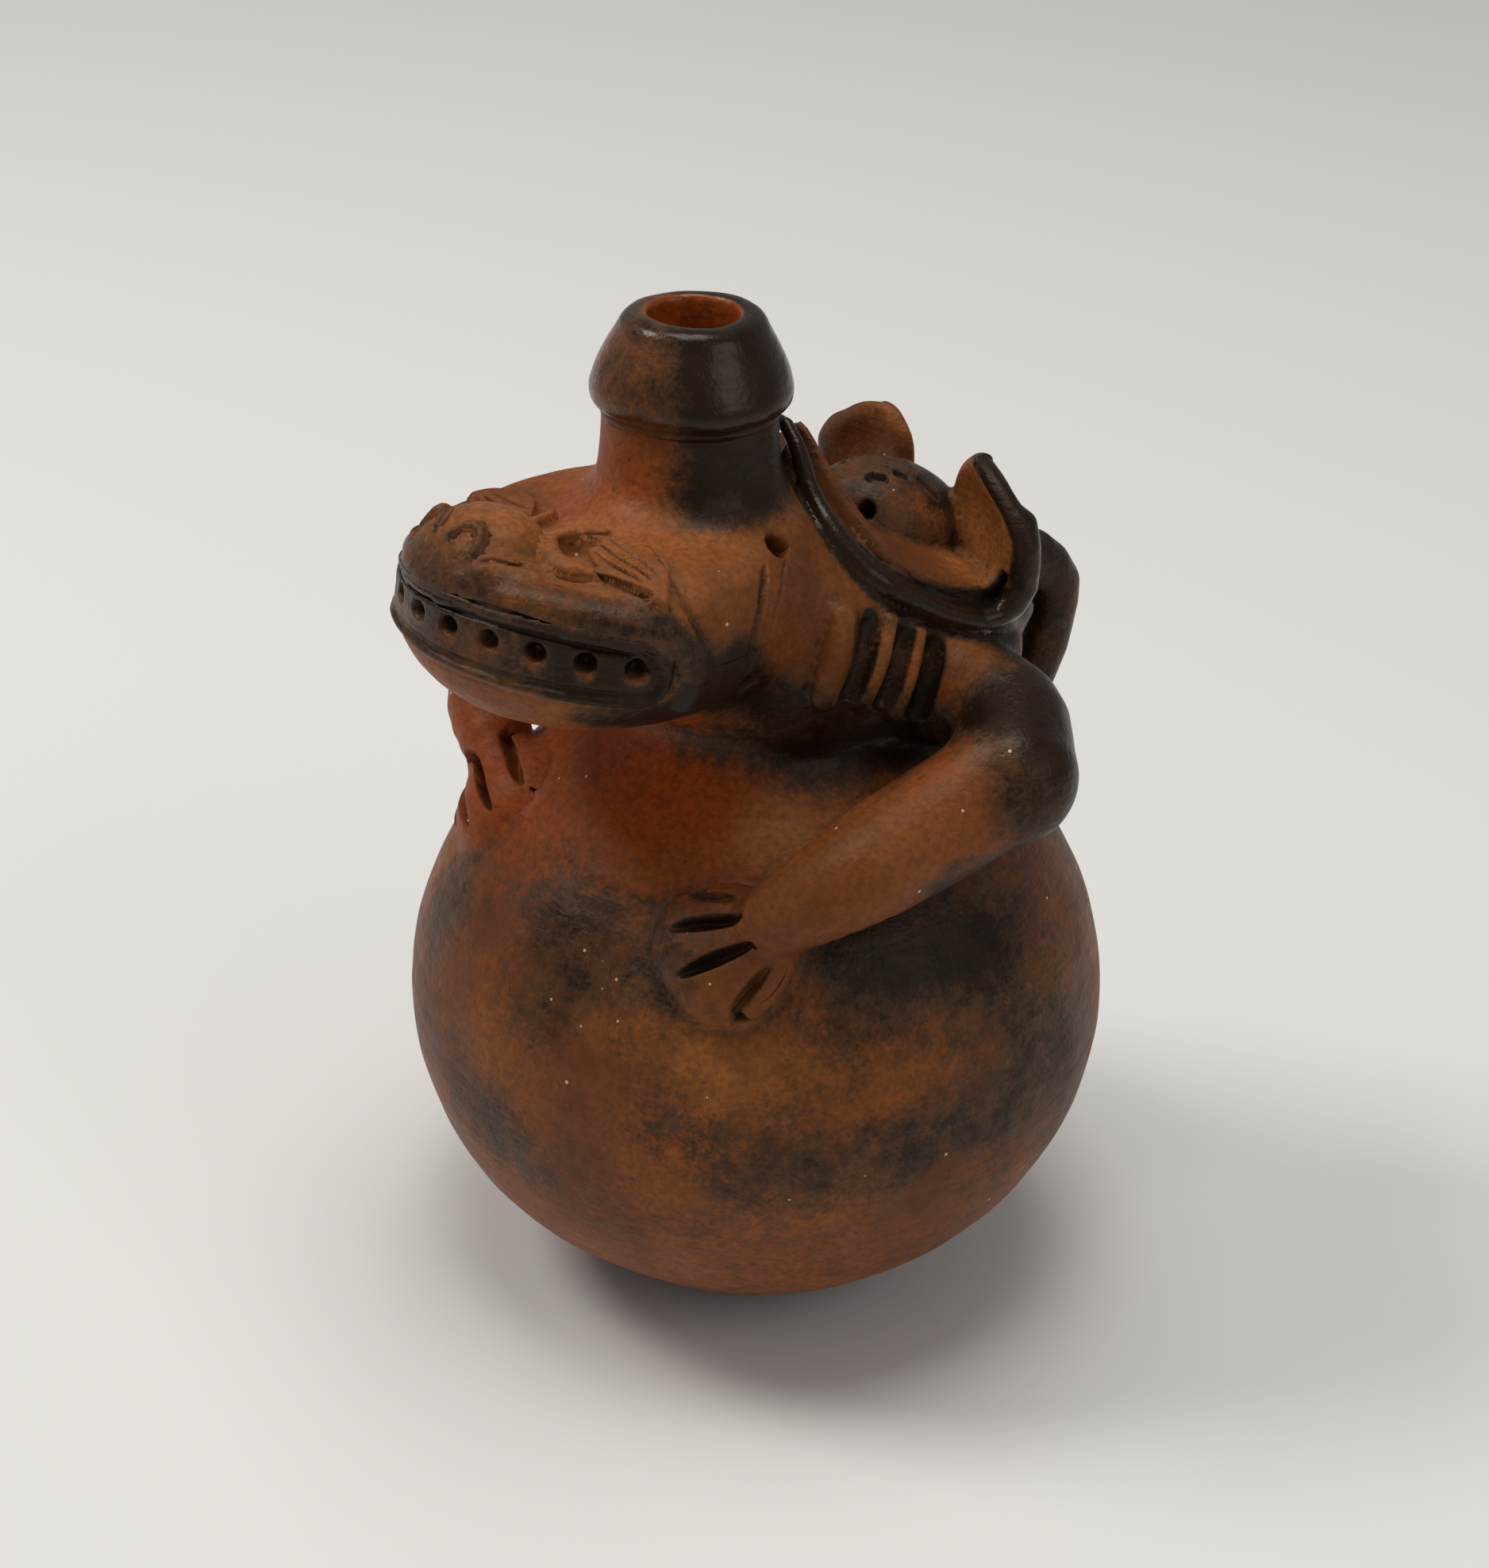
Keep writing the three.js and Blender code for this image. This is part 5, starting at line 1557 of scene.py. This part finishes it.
def table_material():
    """A matt, nearly white table."""
    material = bpy.data.materials.new("pale_table")
    material.use_nodes = True
    shader = material.node_tree.nodes["Principled BSDF"]
    shader.inputs["Base Color"].default_value = (0.80, 0.79, 0.775, 1)
    shader.inputs["Roughness"].default_value = 0.8
    shader.inputs["Specular IOR Level"].default_value = 0.2
    return material


def table_top(half):
    """A flat square of four corners."""
    corners = np.array([(-1, -1, 0), (1, -1, 0), (1, 1, 0), (-1, 1, 0)], float) * half
    mesh = bpy.data.meshes.new("table_top")
    mesh.from_pydata(corners.tolist(), [], [(0, 1, 2, 3)])
    made = bpy.data.objects.new("table_top", mesh)
    bpy.context.scene.collection.objects.link(made)
    made.data.materials.append(table_material())


BOTTLE_MIDDLE = Vector((0, 0, 0.09))


def lamp(name, place, size, power, colour):
    """A soft square lamp that looks at the bottle."""
    light = bpy.data.lights.new(name, "AREA")
    light.size = size
    light.energy = power
    light.color = colour
    made = bpy.data.objects.new(name, light)
    made.location = place
    aim = BOTTLE_MIDDLE - Vector(place)
    made.rotation_mode = "QUATERNION"
    made.rotation_quaternion = aim.to_track_quat("-Z", "Y")
    bpy.context.scene.collection.objects.link(made)


# How bright the room is as a light and as the wall that the camera sees
ROOM_LEVEL = 0.24
WALL_LEVEL = 0.72


def room_light():
    """An even, dim room, which the camera sees as the pale wall behind the table."""
    world = bpy.data.worlds.new("studio")
    world.use_nodes = True
    w = Weaver(world.node_tree)
    back = world.node_tree.nodes["Background"]
    path = w.new("LightPath").outputs
    seen = w.math("MAXIMUM", path["Is Camera Ray"], path["Is Transmission Ray"])
    strength = w.new("MapRange", Value=seen, To_Min=ROOM_LEVEL, To_Max=WALL_LEVEL)
    w.put(back.inputs["Color"], (0.95, 0.94, 0.93, 1))
    w.put(back.inputs["Strength"], strength.outputs["Result"])
    bpy.context.scene.world = world


# The photograph's camera, found from the bottle's own outlines: where it stands and looks, in
# metres, its roll in degrees, and its lens and the photograph's long side in pixels
CAMERA_PLACE = Vector((0.32371, -0.23041, 0.29066))
CAMERA_TARGET = Vector((-0.00178, -0.00254, 0.0794))
CAMERA_ROLL = 2.5
CAMERA_LENS = 3702.7
LONG_SIDE = 1975
SENSOR = 36


def photo_camera():
    """Puts the photograph's camera in place."""
    data = bpy.data.cameras.new("photo_camera")
    data.sensor_fit = "AUTO"
    data.sensor_width = SENSOR
    data.lens = CAMERA_LENS / LONG_SIDE * SENSOR
    data.clip_start = 0.01
    data.clip_end = 20
    made = bpy.data.objects.new("photo_camera", data)
    turn = (CAMERA_TARGET - CAMERA_PLACE).to_track_quat("-Z", "Y").to_matrix()
    roll = Matrix.Rotation(np.radians(CAMERA_ROLL), 3, "Z")
    made.matrix_world = Matrix.Translation(CAMERA_PLACE) @ (turn @ roll).to_4x4()
    bpy.context.scene.collection.objects.link(made)
    bpy.context.scene.camera = made


table_top(3.0)
lamp("top", (-0.05, 0.0, 2.0), 1.0, 17.0, (1.0, 0.975, 0.94))
lamp("key", (-0.55, -0.72, 1.15), 0.45, 8.0, (1.0, 0.97, 0.93))
lamp("side", (0.70, 0.25, 0.55), 0.45, 1.0, (1.0, 0.98, 0.96))
room_light()
photo_camera()
bpy.context.scene.view_settings.view_transform = "Standard"
